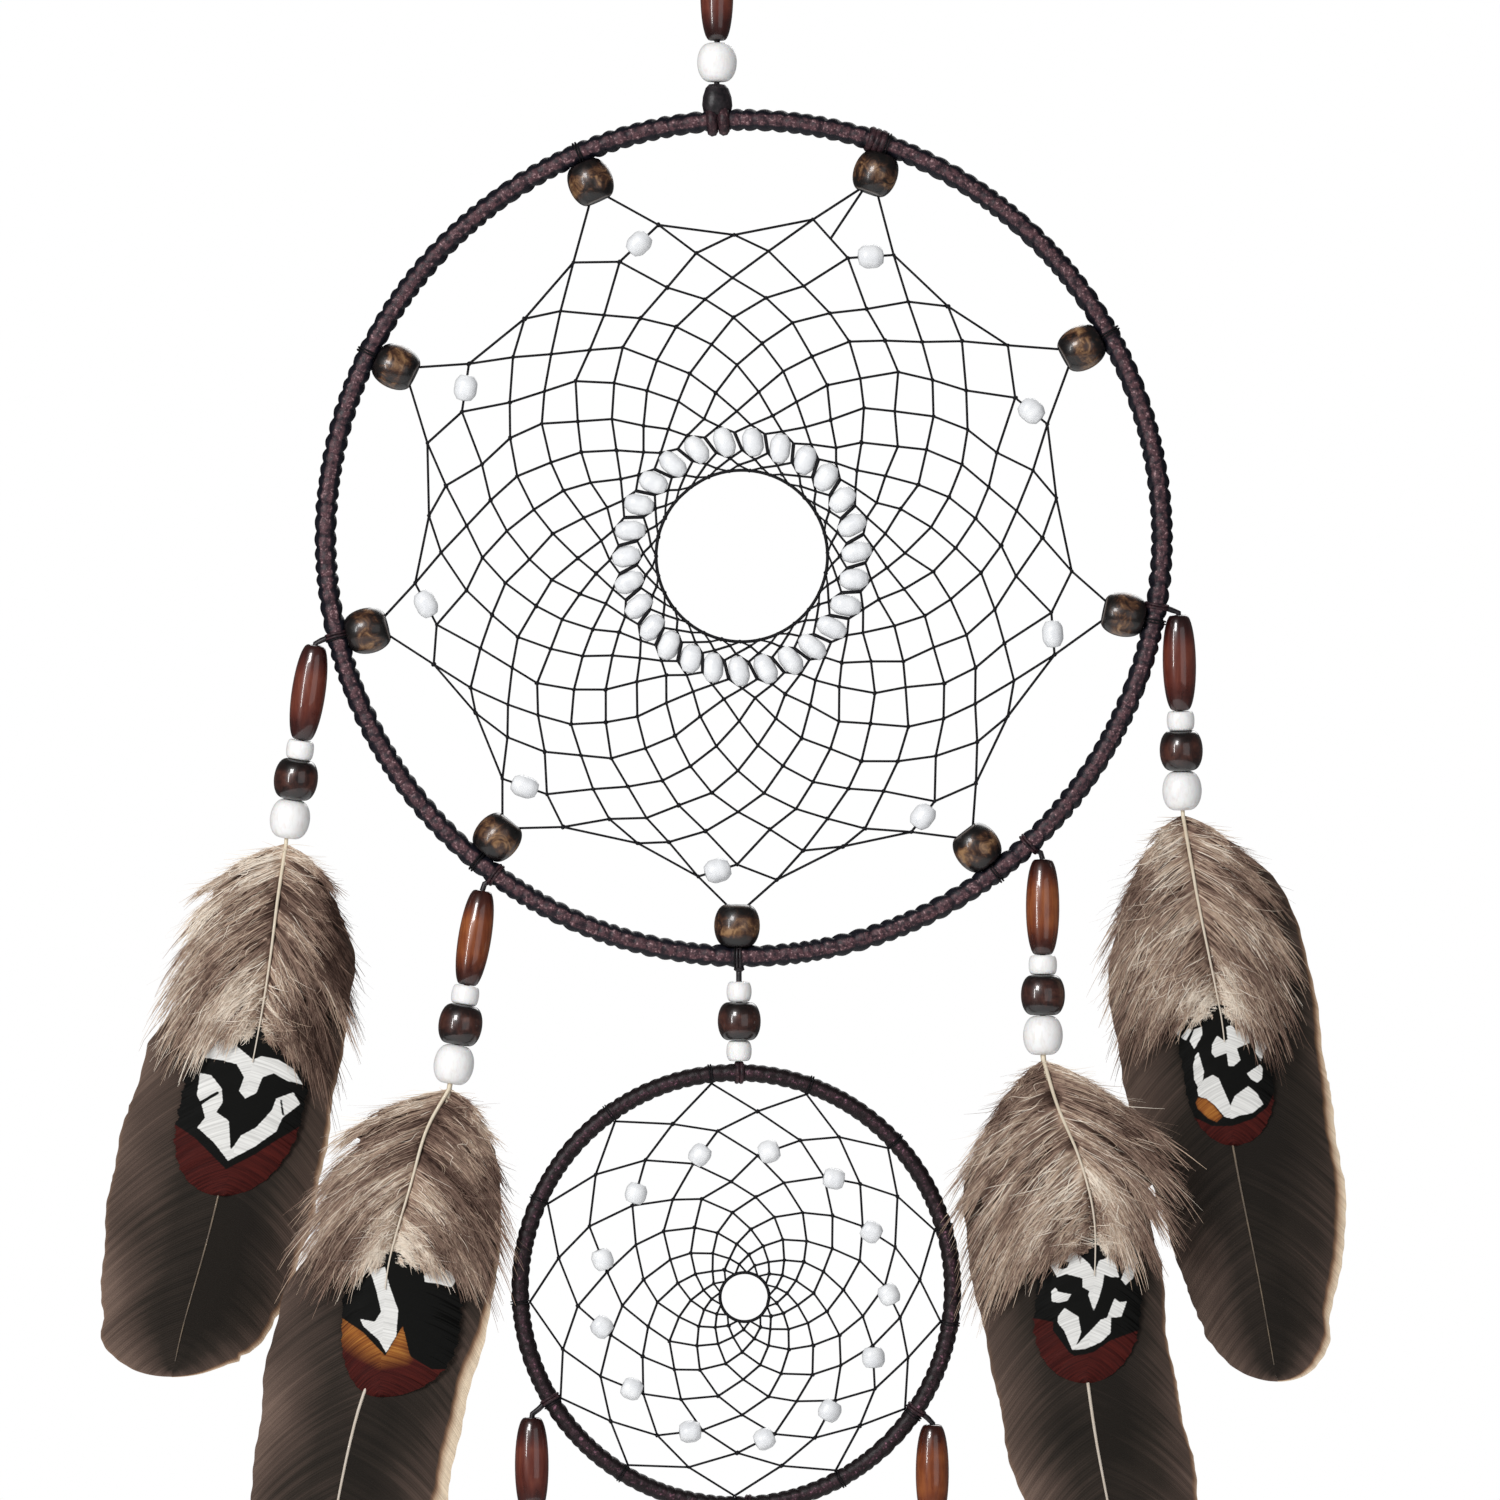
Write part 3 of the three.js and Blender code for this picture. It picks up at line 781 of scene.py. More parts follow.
def big_web_rings(rng, bead_angles):
    """Scallop nodes, three between each two beads, then rings that are each turned by half a step."""
    rim_centre = BIG.centre + np.array([-0.2, 0, -2.3]) * MM
    web_centre = BIG.centre + np.array([-0.5, 0, -4.6]) * MM
    radii = np.array([71.1, 66.2, 61.3, 54.7, 49.0, 42.4, 36.9, 33.7, 29.5, 25.3, 23.3]) * MM
    angles, sag = [], []
    for start, end in zip(bead_angles, bead_angles[1:] + [bead_angles[0] + 2 * np.pi]):
        for share, radius in ((0.18, 85.2), (0.5, 80.9), (0.82, 85.2)):
            angles.append(start + (end - start) * share)
            sag.append(radius * MM)
    angles = np.array(angles)
    rings = [jitter(polar(rim_centre, np.array(sag), angles), 0.5 * MM, rng)]
    angles = half_step(angles)
    second = np.where(np.arange(len(angles)) % 3 == 2, 80.6, 77.4) * MM
    rings.append(jitter(polar((rim_centre + web_centre) / 2, second, angles), 0.4 * MM, rng))
    for radius in radii:
        angles = half_step(angles)
        amount = 0.35 * MM if radius > 35 * MM else 0.12 * MM
        rings.append(jitter(polar(web_centre, radius, angles), amount, rng))
    return rings, web_centre, polar(web_centre, 22.0 * MM, half_step(angles))


def diamonds(builder, start, stop, radius):
    """Joins each node of a ring to the two nearest of the next one in."""
    for i in range(len(start)):
        for j in (i, i - 1):
            thread(builder, start[i], stop[j], radius)


def hang_on_beads(builder, rings, tips):
    """The outermost thread runs from bead to bead through three scallop nodes."""
    count = len(rings[0])
    for i in range(count):
        after = rings[0][(i + 1) % count]
        if i % 3 == 2:
            bead = tips[((i + 1) // 3) % len(tips)]
            across = 2.3 * MM * unit(np.cross(bead - BIG.centre, [0, 1, 0]))
            thread(builder, rings[0][i], bead - across)
            thread(builder, bead + across, after)
            if i == 2:
                thread(builder, bead + across * 0.7, (after + rings[1][i]) / 2)
        else:
            thread(builder, rings[0][i], after)


def make_big_web():
    """A net of 27 nodes a ring that hangs between nine beads, with a ring of seed beads round its hole."""
    beads = sorted((math.radians(BIG.degrees_of(middle(n))) % (2 * np.pi), n) for n in HOOP_BEADS)
    rings, web_centre, hole = big_web_rings(np.random.default_rng(4), [angle for angle, _ in beads])
    builder, seeds = Builder(), Builder()
    hang_on_beads(builder, rings, [bead_point(node) for _, node in beads])

    # The seed ring: between two seeds both threads run side by side, so each seed sits in a long cell.
    count, last, seed_ring = len(hole), len(rings) - 1, 10
    outward = unit(rings[seed_ring] - web_centre)
    tangent = np.stack([-outward[:, 2], np.zeros(count), outward[:, 0]], axis=1)
    rings[seed_ring - 1] = rings[seed_ring - 1] + 0.9 * MM * np.roll(tangent, 1, axis=0)
    rings[seed_ring + 1] = rings[seed_ring + 1] - 0.9 * MM * tangent
    reach = 2.3 * MM * outward + 0.9 * MM * tangent
    hub = rings[seed_ring] + 1.2 * MM * FRONT
    outer_end, inner_end = hub + reach, hub - reach
    for ring in range(last):
        start = inner_end if ring == seed_ring else rings[ring]
        stop = outer_end if ring == seed_ring - 1 else rings[ring + 1]
        diamonds(builder, start, stop, 0.33 * MM)
    for a, b in zip(outer_end, inner_end):
        thread(builder, a, b, 0.5 * MM, 3)
    ring_line = smooth_line(np.concatenate([hole, hole[:1]]), count * 6 + 1)[:-1]
    tube(builder, ring_line, 0.42 * MM, 8, closed=True)
    diamonds(builder, rings[last], hole, 0.28 * MM)
    for ring in range(last + 1):
        if ring != seed_ring:
            for i in range(count):
                knot(builder, rings[ring][i], 0.56 * MM if ring < 9 else 0.48 * MM, ring * 100 + i)
    for i in range(count):
        knot(builder, hole[i], 0.55 * MM, 2000 + i)
        top, bottom = rings[seed_ring - 1][i], rings[seed_ring + 1][i - 1]
        place = (top + bottom) / 2 + FRONT * 0.1 * MM
        seed_bead(seeds, place, top - bottom, 7.2 * MM, 5.3 * MM, 300 + i, 0.55)
    for i in range(0, count, 3):
        upper, lower = rings[0][i - 1], rings[1][i - 1]
        seed_bead(seeds, (upper + lower) / 2, upper - lower, 6.4 * MM, 5.7 * MM, 400 + i)
    finish_piece(builder.object("big_web_threads", [WEB_THREAD]), "big_hoop", "web_thread", "big_web")
    finish_piece(seeds.object("big_web_seed_beads", [SEED]), "big_hoop", "white_bead")


def make_small_web():
    """A net of 13 nodes a ring, hitched straight to the small hoop, with one round of seed beads."""
    rng = np.random.default_rng(9)
    hitches = [-176.4, -148.2, -121.6, -90.5, -61.3, -35.4, -9.1, 16.5, 42.9, 70.2, 96.9, 125.9, 155.7]
    angles = np.radians(hitches)
    web_centre = SMALL.centre + np.array([2.1, 0, -2.1]) * MM
    rim = polar(SMALL.centre, SMALL.outer - 2 * SMALL.tube - 0.1 * MM, angles)
    radii = np.array([46.9, 41.9, 36.2, 30.8, 26.2, 21.6, 17.7, 13.9, 10.8, 8.5]) * MM
    rings = [rim]
    for k, radius in enumerate(radii):
        angles = half_step(angles)
        share = min(1.0, (k + 1) / 4)
        centre = SMALL.centre * (1 - share) + web_centre * share
        amount = 0.45 * MM if radius > 20 * MM else 0.15 * MM
        rings.append(jitter(polar(centre, radius, angles), amount, rng))
    hole = polar(web_centre, 6.3 * MM, half_step(angles))
    builder, seeds = Builder(), Builder()
    count = len(rim)
    last = len(rings) - 1
    for ring in range(last):
        diamonds(builder, rings[ring], rings[ring + 1], 0.31 * MM)
    diamonds(builder, rings[last], hole, 0.28 * MM)
    ring_line = smooth_line(np.concatenate([hole, hole[:1]]), 80)[:-1]
    tube(builder, ring_line, 0.42 * MM, 8, closed=True)
    tube(builder, ring_line + FRONT * 0.4 * MM, 0.3 * MM, 8, closed=True)
    for ring in range(1, last + 1):
        for i in range(count):
            knot(builder, rings[ring][i], 0.52 * MM, 5000 + ring * 100 + i)
    for i in range(count):
        upper, lower = rings[2][i], rings[3][i]
        seed_bead(seeds, upper * 0.27 + lower * 0.73, upper - lower, 5.0 * MM, 5.5 * MM, 700 + i, 0.7)
        hitch(builder, SMALL, hitches[i], 2, 0.18 * MM, 0.6 * MM, 0)
    finish_piece(builder.object("small_web_threads", [WEB_THREAD]), "small_hoop", "web_thread", "small_web")
    finish_piece(seeds.object("small_web_seed_beads", [SEED]), "small_hoop", "white_bead")


# ---------------------------------------------------------------- beads


def barrel(length, radius, end, bore, power=1.0, count=22, lip=0.35 * MM):
    """A bead's profile, closed on itself round the bore."""
    t = np.linspace(-np.pi / 2, np.pi / 2, count)
    outer = [(end + (radius - end) * np.cos(a) ** power, length / 2 * np.sin(a)) for a in t]
    inner = [(bore, length / 2 - lip), (bore, 0.0), (bore, -length / 2 + lip)]
    return outer + [(end - lip, length / 2)] + inner + [(end - lip, -length / 2)]


BEADS = {  # material slot, length, radius and end radius in mm, and how square the barrel is
    "pipe": ("pipe_wood", 24.5, 4.3, 1.9, 1.0),
    "spacer": ("white_bead", 4.9, 3.6, 2.3, 0.55),
    "brown": ("dark_wood", 10.3, 5.6, 2.6, 0.85),
    "white": ("white_bead", 10, 5.1, 1.9, 0.95),
    "link_white": ("white_bead", 5.2, 3.25, 1.9, 0.75),
    "link_brown": ("dark_wood", 9.8, 5.5, 2.6, 0.85),
}


def make_bead(name, body, material, kind, centre, axis, seed, replaced=()):
    slot, length, radius, end, power = BEADS[kind]
    builder = Builder()
    profile = barrel(length * MM, radius * MM, end * MM, 1.25 * MM, power)
    lathe(builder, centre, axis, profile, 44, 0.012, seed)
    return finish_piece(builder.object(name, [material]), body, slot, *replaced)


def make_hoop_beads():
    """The burnt beads round the inside of the big hoop, each with its bore along the hoop's radius."""
    for k, node in enumerate(HOOP_BEADS):
        place = middle(node)
        axis = unit(place - BIG.centre)
        builder = Builder()
        lathe(builder, place, axis, barrel(10.9 * MM, 5.8 * MM, 2.7 * MM, 1.7 * MM), 48, 0.02, 11 + k)
        finish_piece(builder.object(f"burnt_bead_{k + 1}", [BURNT_WOOD]), "big_hoop", "burnt_wood", node)


# ---------------------------------------------------------------- cords


def rope_shape(strands, pitch, depth=0.16):
    """How far a rope's surface stands out, for strands laid round it."""
    return lambda angle, along: 1 - depth * np.abs(np.sin(strands * (angle - 2 * np.pi * along / pitch) / 2))


def make_lace(name, body, points, node, count):
    """A cord through the given points."""
    line = smooth_line(points, count)
    builder = Builder()
    tube(builder, line, LACE, 14, shape=rope_shape(3, 5.0 * MM))
    made = finish_piece(builder.object(name, [CORD]), body, "cord", node)


def strand_axis(name):
    return unit(joints[name + "_feather_twist"]["axis"])


def strand_top(name):
    return np.array(joints[name + "_swing"]["pos_m"], float)


def tie_degrees(name, hoop):
    """Where on the hoop a strand is tied, a little nearer the hoop's foot than its pivot."""
    degrees = hoop.degrees_of(strand_top(name))
    drop = (strand_top(name) - middle(name + "_pipe_bead")) @ strand_axis(name) - 12.2 * MM
    shift = math.degrees(0.6 * drop / hoop.outer)
    return degrees + shift * np.sign(-90 - degrees) if abs(degrees + 90) > shift else degrees


def make_strand(name):
    """A lace from the hoop down through a tube bead, a ring bead and a round bead to the end bead."""
    up, top = strand_axis(name), strand_top(name)
    bottom = np.array(joints[name + "_feather_twist"]["pos_m"], float)
    pipe_place = middle(name + "_pipe_bead")
    along = float((top - pipe_place) @ up)
    pipe_half, ring_long, brown_half, gap = 12.3, 4.6, 5.1, 0.3
    spacer_place = top - up * (along + (pipe_half + gap + ring_long / 2) * MM)
    brown_place = top - up * (along + (pipe_half + gap + ring_long + gap + brown_half) * MM)
    pipe = AMBER_PIPE if name in ("inner_left", "inner_right", "lower_right") else RED_PIPE
    seed = 20 + 7 * (UPPER + LOWER).index(name)
    pieces = [
        ("tube_bead", pipe, "pipe", pipe_place, "pipe_bead"),
        ("ring_bead", WHITE, "spacer", spacer_place, "spacer_bead"),
        ("round_bead", DARK_WOOD, "brown", brown_place, "brown_bead"),
    ]
    for k, (label, material, kind, place, node) in enumerate(pieces):
        node = f"{name}_{node}"
        replaced = [node] if node in frame["nodes"] else []
        made = make_bead(f"{name}_{label}", name + "_strand", material, kind, place, up, seed + k, replaced)
    end_bead = [name + "_white_bead"]
    make_bead(name + "_end_bead", name + "_feather", WHITE, "white", bottom, up, seed + 5, end_bead)
    end = bottom - up * 3.2 * MM
    hoop = BIG if name in UPPER else SMALL
    tied = hoop.at(tie_degrees(name, hoop), hoop.outer - 0.9 * MM, -0.2 * MM)
    bead_top = pipe_place + up * 12.6 * MM
    line = [tied, (tied + bead_top) / 2, bead_top, top + (end - top) * 0.33, top + (end - top) * 0.66, end]
    make_lace(name + "_lace", name + "_strand", line, name + "_cord", 24)


# ---------------------------------------------------------------- feathers


class Plane:
    """A feather's own flat frame: x to the right, drop down along the feather, and forward."""

    def __init__(self, name):
        tilt = math.radians({"outer": 3.5, "inner": -3.5}.get(name.split("_")[0], 0.0))
        self.down = np.array([0, math.sin(tilt), -math.cos(tilt)])
        self.forward = np.array([0, -math.cos(tilt), -math.sin(tilt)])
        up, bead = strand_axis(name), np.array(joints[name + "_feather_twist"]["pos_m"], float)
        self.top = bead - up * 6.0 * MM

    def place(self, x, drop, forward):
        x, drop, forward = np.broadcast_arrays(x, drop, forward)
        return (
            self.top
            + x[..., None] * np.array([1.0, 0, 0])
            + drop[..., None] * self.down
            + forward[..., None] * self.forward
        )


class Outline:
    """Where a feather's left and right edges are at each drop, from its CAD solid, with a round end."""

    def __init__(self, node, plane, tip_x):
        mesh = frame["nodes"][node].data
        points = np.array([v.co for v in mesh.vertices], float)
        edges = np.array([tuple(e.vertices) for e in mesh.edges])
        top, low = points[:, 2].max(), points[:, 2].min()
        levels = np.linspace(top - 0.2 * MM, low + 0.2 * MM, 70)
        a, b = points[edges[:, 0]], points[edges[:, 1]]
        rows = []
        for z in levels:
            crossing = (a[:, 2] - z) * (b[:, 2] - z) < 0
            p, q = a[crossing], b[crossing]
            x = p[:, 0] + (q[:, 0] - p[:, 0]) * (z - p[:, 2]) / (q[:, 2] - p[:, 2])
            rows.append((top - z, x.min() - plane.top[0], x.max() - plane.top[0]))
        self.drops, self.left, self.right = np.array(rows).T
        for side in (self.left, self.right):
            padded = np.concatenate([[side[0]] * 2, side, [side[-1]] * 2])
            side[:] = np.convolve(padded, np.ones(5) / 5, "valid")
        self.long = top - low
        self.low = self.long - 15 * MM
        self.tip_x = tip_x

    def edge(self, side, drop):
        drop = np.asarray(drop, float)
        column = self.left if side < 0 else self.right
        x = np.interp(drop, self.drops, column)
        ends = [np.interp(self.low, self.drops, c) for c in (self.left, self.right)]
        share = np.clip((drop - self.low) / (self.long - self.low), 0, 1)
        centre, half = sum(ends) / 2, (ends[1] - ends[0]) / 2
        centre = centre + (self.tip_x - centre) * share
        rounded = centre + side * half * np.sqrt(1 - share**2)
        return np.where(drop > self.low, rounded, x)


def quill_curve(points):
    """The quill's x at a drop, through (x, drop) points in mm."""
    line = smooth_line(np.array(points) * MM, 120)
    return lambda drop: np.interp(drop, line[:, 1], line[:, 0])


def barb_line(root_x, root_drop, end_x, end_drop, u):
    """Points at shares u along barbs that leave the quill at a slant and bend down to their ends."""
    a = np.stack([root_x, root_drop], axis=-1)[:, None]
    c = np.stack([end_x, end_drop], axis=-1)[:, None]
    bend_x, bend_drop = root_x + (end_x - root_x) * 0.58, root_drop + (end_drop - root_drop) * 0.3
    b = np.stack([bend_x, bend_drop], axis=-1)[:, None]
    u = u[..., None]
    return a * (1 - u) ** 2 + 2 * b * u * (1 - u) + c * u**2


def long_vane(builder, plane, quill_x, outline, shape, slot, rng):
    """A long wing feather's two vanes, barb by barb, with a few splits and a wavy edge."""
    rows, cols = 320, 18
    long = outline.long
    for side, cover, rim in zip((-1, 1), shape["cover"], shape["rims"]):
        t = np.linspace(0.02, 1, rows)
        root = t * long * 0.985
        end = root + 21 * MM * np.interp(t, [0, 0.3], [0.6, 1]) * (1 - t**6) + long * 0.015 * t**6
        phase = rng.uniform(0, 6, 4)
        wave = np.sin(t * 41 + phase[0]) + 0.7 * np.sin(t * 19 + phase[1]) + 0.35 * np.sin(t * 150 + phase[2])
        hidden = np.interp(end, [0, 30 * MM, 52 * MM], [cover * 0.85, cover, 1.0])
        end_x = outline.edge(side, end) * hidden + side * 0.3 * MM * wave * np.clip((1 - t) * 12, 0, 1)
        s = np.linspace(0, 1, cols)
        flat = barb_line(quill_x(root), root, end_x, end, np.broadcast_to(s, (rows, cols)))
        gap = np.zeros(rows)
        for split in rng.integers(int(rows * 0.3), int(rows * 0.93), 6):
            width = rng.integers(5, 14)
            reach = np.arange(-width, width + 1)
            here = (split + reach >= 0) & (split + reach < rows)
            direction = np.where(reach >= 0, 1, -1)
            open_by = rng.uniform(0.3, 0.8) * MM * (1 - np.abs(reach) / (width + 1)) * direction
            gap[(split + reach)[here]] += open_by[here]
        flat[..., 1] += gap[:, None] * np.clip((s - 0.5) / 0.5, 0, 1) ** 1.5
        flat[..., 1] = np.minimum(flat[..., 1], long)
        away = np.abs(flat[..., 0] - quill_x(flat[..., 1]))
        ripple = 0.35 * MM * np.sin(t * 17 + phase[3])[:, None] * s
        forward = 0.3 * MM - 2.6 * MM * (away / (30 * MM)) ** 2 + ripple
        builder.add(
            plane.place(flat[..., 0], flat[..., 1], forward).reshape(-1, 3),
            grid_faces(rows, cols)[:, :: -side],
            slot,
            edge=np.tile(s, rows),
            side=float(side),
            barb=np.repeat(np.arange(rows) * 0.6, cols),
            rim=float(rim) * np.repeat(np.interp(t, [0, 0.25, 0.4], [0, 0.4, 1]), cols),
        )


def spread(polygon, x, y, soft=0.45):
    """1 inside a polygon (in mm), 0 outside, with a soft edge."""
    polygon = np.array(polygon, float)
    inside = np.zeros(x.shape, bool)
    nearest = np.full(x.shape, 1e9)
    for (ax, ay), (bx, by) in zip(polygon, np.roll(polygon, -1, axis=0)):
        crosses = (ay > y) != (by > y)
        inside ^= crosses & (x < (bx - ax) * (y - ay) / (by - ay + 1e-12) + ax)
        along = (x - ax) * (bx - ax) + (y - ay) * (by - ay)
        t = np.clip(along / ((bx - ax) ** 2 + (by - ay) ** 2 + 1e-12), 0, 1)
        nearest = np.minimum(nearest, np.hypot(x - ax - t * (bx - ax), y - ay - t * (by - ay)))
    return np.clip(0.5 + np.where(inside, nearest, -nearest) / (2 * soft), 0, 1)


# Body feather tips, in mm: x from the quill, y below the top of the pattern. White patches, black
# spots in them, gold patches, where the warm end starts, and the reach to the left and right.
TIPS = {
    "heart": dict(
        white=[
            [(-17, 1), (-13, 0), (-5.5, 2.5), (0, 6.5), (2, 5.5), (6.5, 6.5), (11, 9), (14, 13),
             (10, 12), (6, 10),
             (3.3, 11), (2.6, 15), (0, 16.5), (-2, 14.5), (-1.4, 11), (-4, 7.6), (-8, 6.6), (-12.5, 6),
             (-15, 4)],
            [(-13, 10), (-10, 10.5), (-6.5, 14), (-5.6, 17.5), (-6.7, 20), (-3, 22.3), (-0.9, 30),
             (1, 26), (4.4, 24),
             (7.5, 19.5), (8, 16.5), (12, 15), (14.4, 18), (10.6, 21.5), (9.8, 25), (5, 29), (-1, 32.6),
             (-5.5, 28),
             (-10.8, 24), (-9.3, 21.5), (-10.7, 18.5), (-12.6, 15.7)],
        ],
        black=[[(-12.5, 18), (-7.5, 14.6), (-7, 15.2), (-12, 18.8)], [(9, 17), (9.5, 16.8), (11, 21),
                (10.4, 21)]],
        gold=[],
        warm=[(-18, 22), (-11, 26), (-1, 34.2), (5.5, 30.5), (10, 27), (16, 23)],
        reach=(16.5, 15.5), long=42, wide=[0.95, 1.0, 1.0, 1.0], gold_edge=1.0, gold_over=False,
    ),
    "marbled": dict(
        white=[
            [(-14, 2.4), (-12.3, 0.3), (-6.5, 0), (-4, 1.8), (-1.5, 4), (0, 6.3), (1, 3.2), (2.7, 2.7),
             (4.2, 0.6),
             (5, 3.5), (6.4, 7.4), (4.3, 7.4), (2.5, 6.8), (2.2, 10), (1.5, 13), (0.5, 16.2),
             (-1.2, 12), (-1, 11),
             (-2.8, 10), (-3, 7.7), (-7.2, 6.6), (-9.5, 7.4), (-11.2, 4.7)],
            [(8, -2.5), (9.6, -1.2), (11.7, 3.5), (10.5, 4), (10, 7.7), (8.2, 9.4), (6.9, 8), (8, 4.4),
             (7.3, 1.5)],
            [(-9.8, 10), (-8.9, 11.2), (-5.5, 11.8), (-6.4, 13.4), (-8.7, 14), (-10.4, 13.6),
             (-10.7, 11)],
            [(-7, 15.3), (-3.3, 17.5), (-2.3, 21.5), (-3.3, 24.8), (-0.3, 21.5), (2.5, 18.3), (4, 17.8),
             (5.6, 12.8),
             (7, 13.8), (8.8, 13.6), (7.7, 17.5), (5.1, 17.8), (5.2, 21.7), (2.9, 24), (-1, 25.8),
             (-4.2, 26),
             (-6.6, 21.2), (-8.5, 19), (-8.5, 17.4)],
        ],
        black=[[(-9.4, 5), (-8.8, 2.8), (-6.6, 3.7), (-7, 5), (-8.3, 5.5)]],
        gold=[],
        warm=[(-16, 17), (-9.6, 18.3), (-9.6, 20.3), (-5, 26), (-3.4, 27), (1.2, 26), (5.4, 23),
              (12, 20.5)],
        reach=(14.5, 12.5), long=34.5, wide=[0.92, 1.0, 1.0, 1.0], gold_edge=1.0, gold_over=False,
    ),
    "spotted": dict(
        white=[
            [(-12.5, 4.4), (-10.6, 3.2), (-10.4, 4.1), (-11.7, 5.7)],
            [(-11, 6), (-9, 3.7), (-8, 4), (-9.8, 6.9)],
            [(-8.9, 7), (-7.4, 4), (-5.3, 3.2), (-5.5, 5.3), (-7.9, 9)],
            [(-3.2, 7.7), (-1.7, 5.5), (0, 6.8), (0.9, 6.5), (0.9, 3.2), (2.4, 2.8), (3.2, 4),
             (5.3, 3.5), (6.9, 5.6),
             (6.4, 7.4), (3, 8.8), (3.7, 11.8), (1.7, 13.4), (0.4, 13.3), (0.3, 10), (-2.8, 11.2),
             (-3.6, 10)],
            [(8.4, 6.5), (11.7, 7.7), (9.7, 10.3), (8.9, 12.2), (7.7, 9.7)],
            [(8.6, 13), (9.2, 14), (8.7, 16.8), (7.4, 17.7), (5.9, 16.8), (5, 15.3), (7, 14)],
            [(-7, 9.7), (-6, 14.7), (-6.6, 17.4), (-7.9, 19), (-8.7, 17), (-8.7, 13.6), (-7.9, 11)],
            [(-6.2, 16.8), (-3.9, 15.6), (-2.4, 16.5), (-1.4, 19.5), (0, 23.6), (1.4, 21), (5, 18.6),
             (7, 20.3),
             (8.5, 23.3), (5.4, 25.6), (2, 26.2), (0.2, 27), (-2, 26.5), (-4.2, 23.6), (-8, 21.5),
             (-8.2, 19.5)],
        ],
        black=[],
        gold=[[(-8.2, 21.5), (-6, 21.8), (-4.2, 23.6), (-2.2, 26.4), (-3.9, 28), (-6, 27), (-8.5, 24.5),
               (-8.9, 23)]],
        warm=[(-12, 25), (-5, 28.4), (0, 28.3), (5.5, 26.5), (9.5, 23.5), (12, 19)],
        reach=(11.5, 12), long=34.2, wide=[1.1, 1.08, 1.0, 0.97], gold_edge=0.6, gold_over=True,
    ),
    "amber": dict(
        white=[
            [(-5.5, 1), (-3, 2), (-0.8, 1.4), (0.8, 5.7), (3.6, 12.3), (3.5, 19), (1.2, 23.3),
             (-0.9, 20), (-5, 16.6),
             (-6, 14.7), (-2.2, 15.4), (-0.7, 12.8), (-2.2, 7.6), (-3.5, 4.3)],
            [(9.4, 3), (14.7, 2.4), (17, 0), (18.5, 3), (17, 6.6), (13.3, 5.7), (9.9, 5.2)],
        ],
        black=[],
        gold=[[(-10, 12), (-6, 15.5), (1, 21), (5, 14), (7.5, 19), (6, 24.5), (0, 25.5), (-6, 22.5),
               (-11, 19)]],
        warm=[(-12, 13), (-5, 17.5), (1, 23.5), (5, 15.8), (7.4, 23.7), (13, 27), (18, 27)],
        reach=(10.5, 19.5), long=34.7, wide=[0.9, 1.0, 1.02, 1.0], gold_edge=2.5, gold_over=False,
    ),
}


def tip_vane(builder, plane, quill_x, top, kind, slot, rng, lay):
    """The firm, patterned end of a short body feather, barb by barb down to a round end."""
    look = TIPS[kind]
    rows, cols = 230, 46
    long = look["long"] * MM
    t = np.linspace(0, 1, rows)
    root = top - 2.6 * MM + t * (long + 2.0 * MM)
    end = root + 7 * MM * (1 - t**5) + 0.6 * MM * t**5
    v = (end - top) / long
    rounded = np.sqrt(1 - np.clip((v - 0.5) / 0.5, 0, 1) ** 2.2)
    wide = np.interp(v, [0, 0.15, 0.35, 0.5], look["wide"]) * rounded
    for side, reach in zip((-1, 1), look["reach"]):
        s = np.linspace(0, 1, cols)
        phase = rng.uniform(0, 6, 4)
        ragged = 1 + 0.015 * np.sin(t * 67 + phase[0]) + 0.012 * rng.normal(0, 1, rows)
        end_x = quill_x(end) + side * reach * MM * wide * ragged
        flat = barb_line(quill_x(root), root, end_x, end, np.broadcast_to(s, (rows, cols)))
        x, drop = flat[..., 0], flat[..., 1]
        across, below = (x - quill_x(drop)) / MM, (drop - top) / MM
        white = np.zeros(x.shape)
        for patch in look["white"]:
            white = np.maximum(white, spread(patch, across, below))
        for patch in look["black"]:
            white = np.minimum(white, 1 - spread(patch, across, below))
        warm = np.clip(0.5 + (below - np.interp(across, *np.array(look["warm"]).T) - 0.6) / 1.2, 0, 1)
        gold = np.zeros(x.shape)
        for patch in look["gold"]:
            gold = np.maximum(gold, spread(patch, across, below, look["gold_edge"]))
        if look["gold_over"]:
            warm, white = np.maximum(warm, gold), white * (1 - gold)
        ripple = 0.1 * MM * np.sin(t * 50 + phase[2])[:, None] * s
        bulge = -1.5 * MM * s[None] ** 2 - 0.9 * MM * t[:, None] ** 2 + ripple
        builder.add(
            plane.place(x, drop, lay + bulge).reshape(-1, 3),
            grid_faces(rows, cols)[:, :: -side],
            slot,
            edge=np.tile(s, rows),
            side=float(side),
            barb=np.repeat(np.arange(rows) * 0.45, cols),
            white=white.ravel(),
            warm=warm.ravel(),
            gold=gold.ravel(),
        )


def ribbons(builder, paths, widths, facing, slot, **values):
    """Thin flat strands, many at a time: paths is strands by points by 3, facing is where each one looks."""
    tangents = unit(np.gradient(paths, axis=1))
    sides = unit(np.cross(tangents, facing[:, None, :]))
    half = sides * widths[..., None] / 2
    n, m, _ = paths.shape
    points = np.stack([paths - half, paths + half], axis=2).reshape(-1, 3)
    strand, step = np.meshgrid(np.arange(n), np.arange(m - 1), indexing="ij")
    base = (strand * m + step) * 2
    quads = np.stack([base, base + 1, base + 3, base + 2], axis=-1).reshape(-1, 4)
    repeated = {k: np.repeat(np.broadcast_to(v, (n, m)).ravel(), 2) for k, v in values.items()}
    builder.add(points, quads, slot, **repeated)


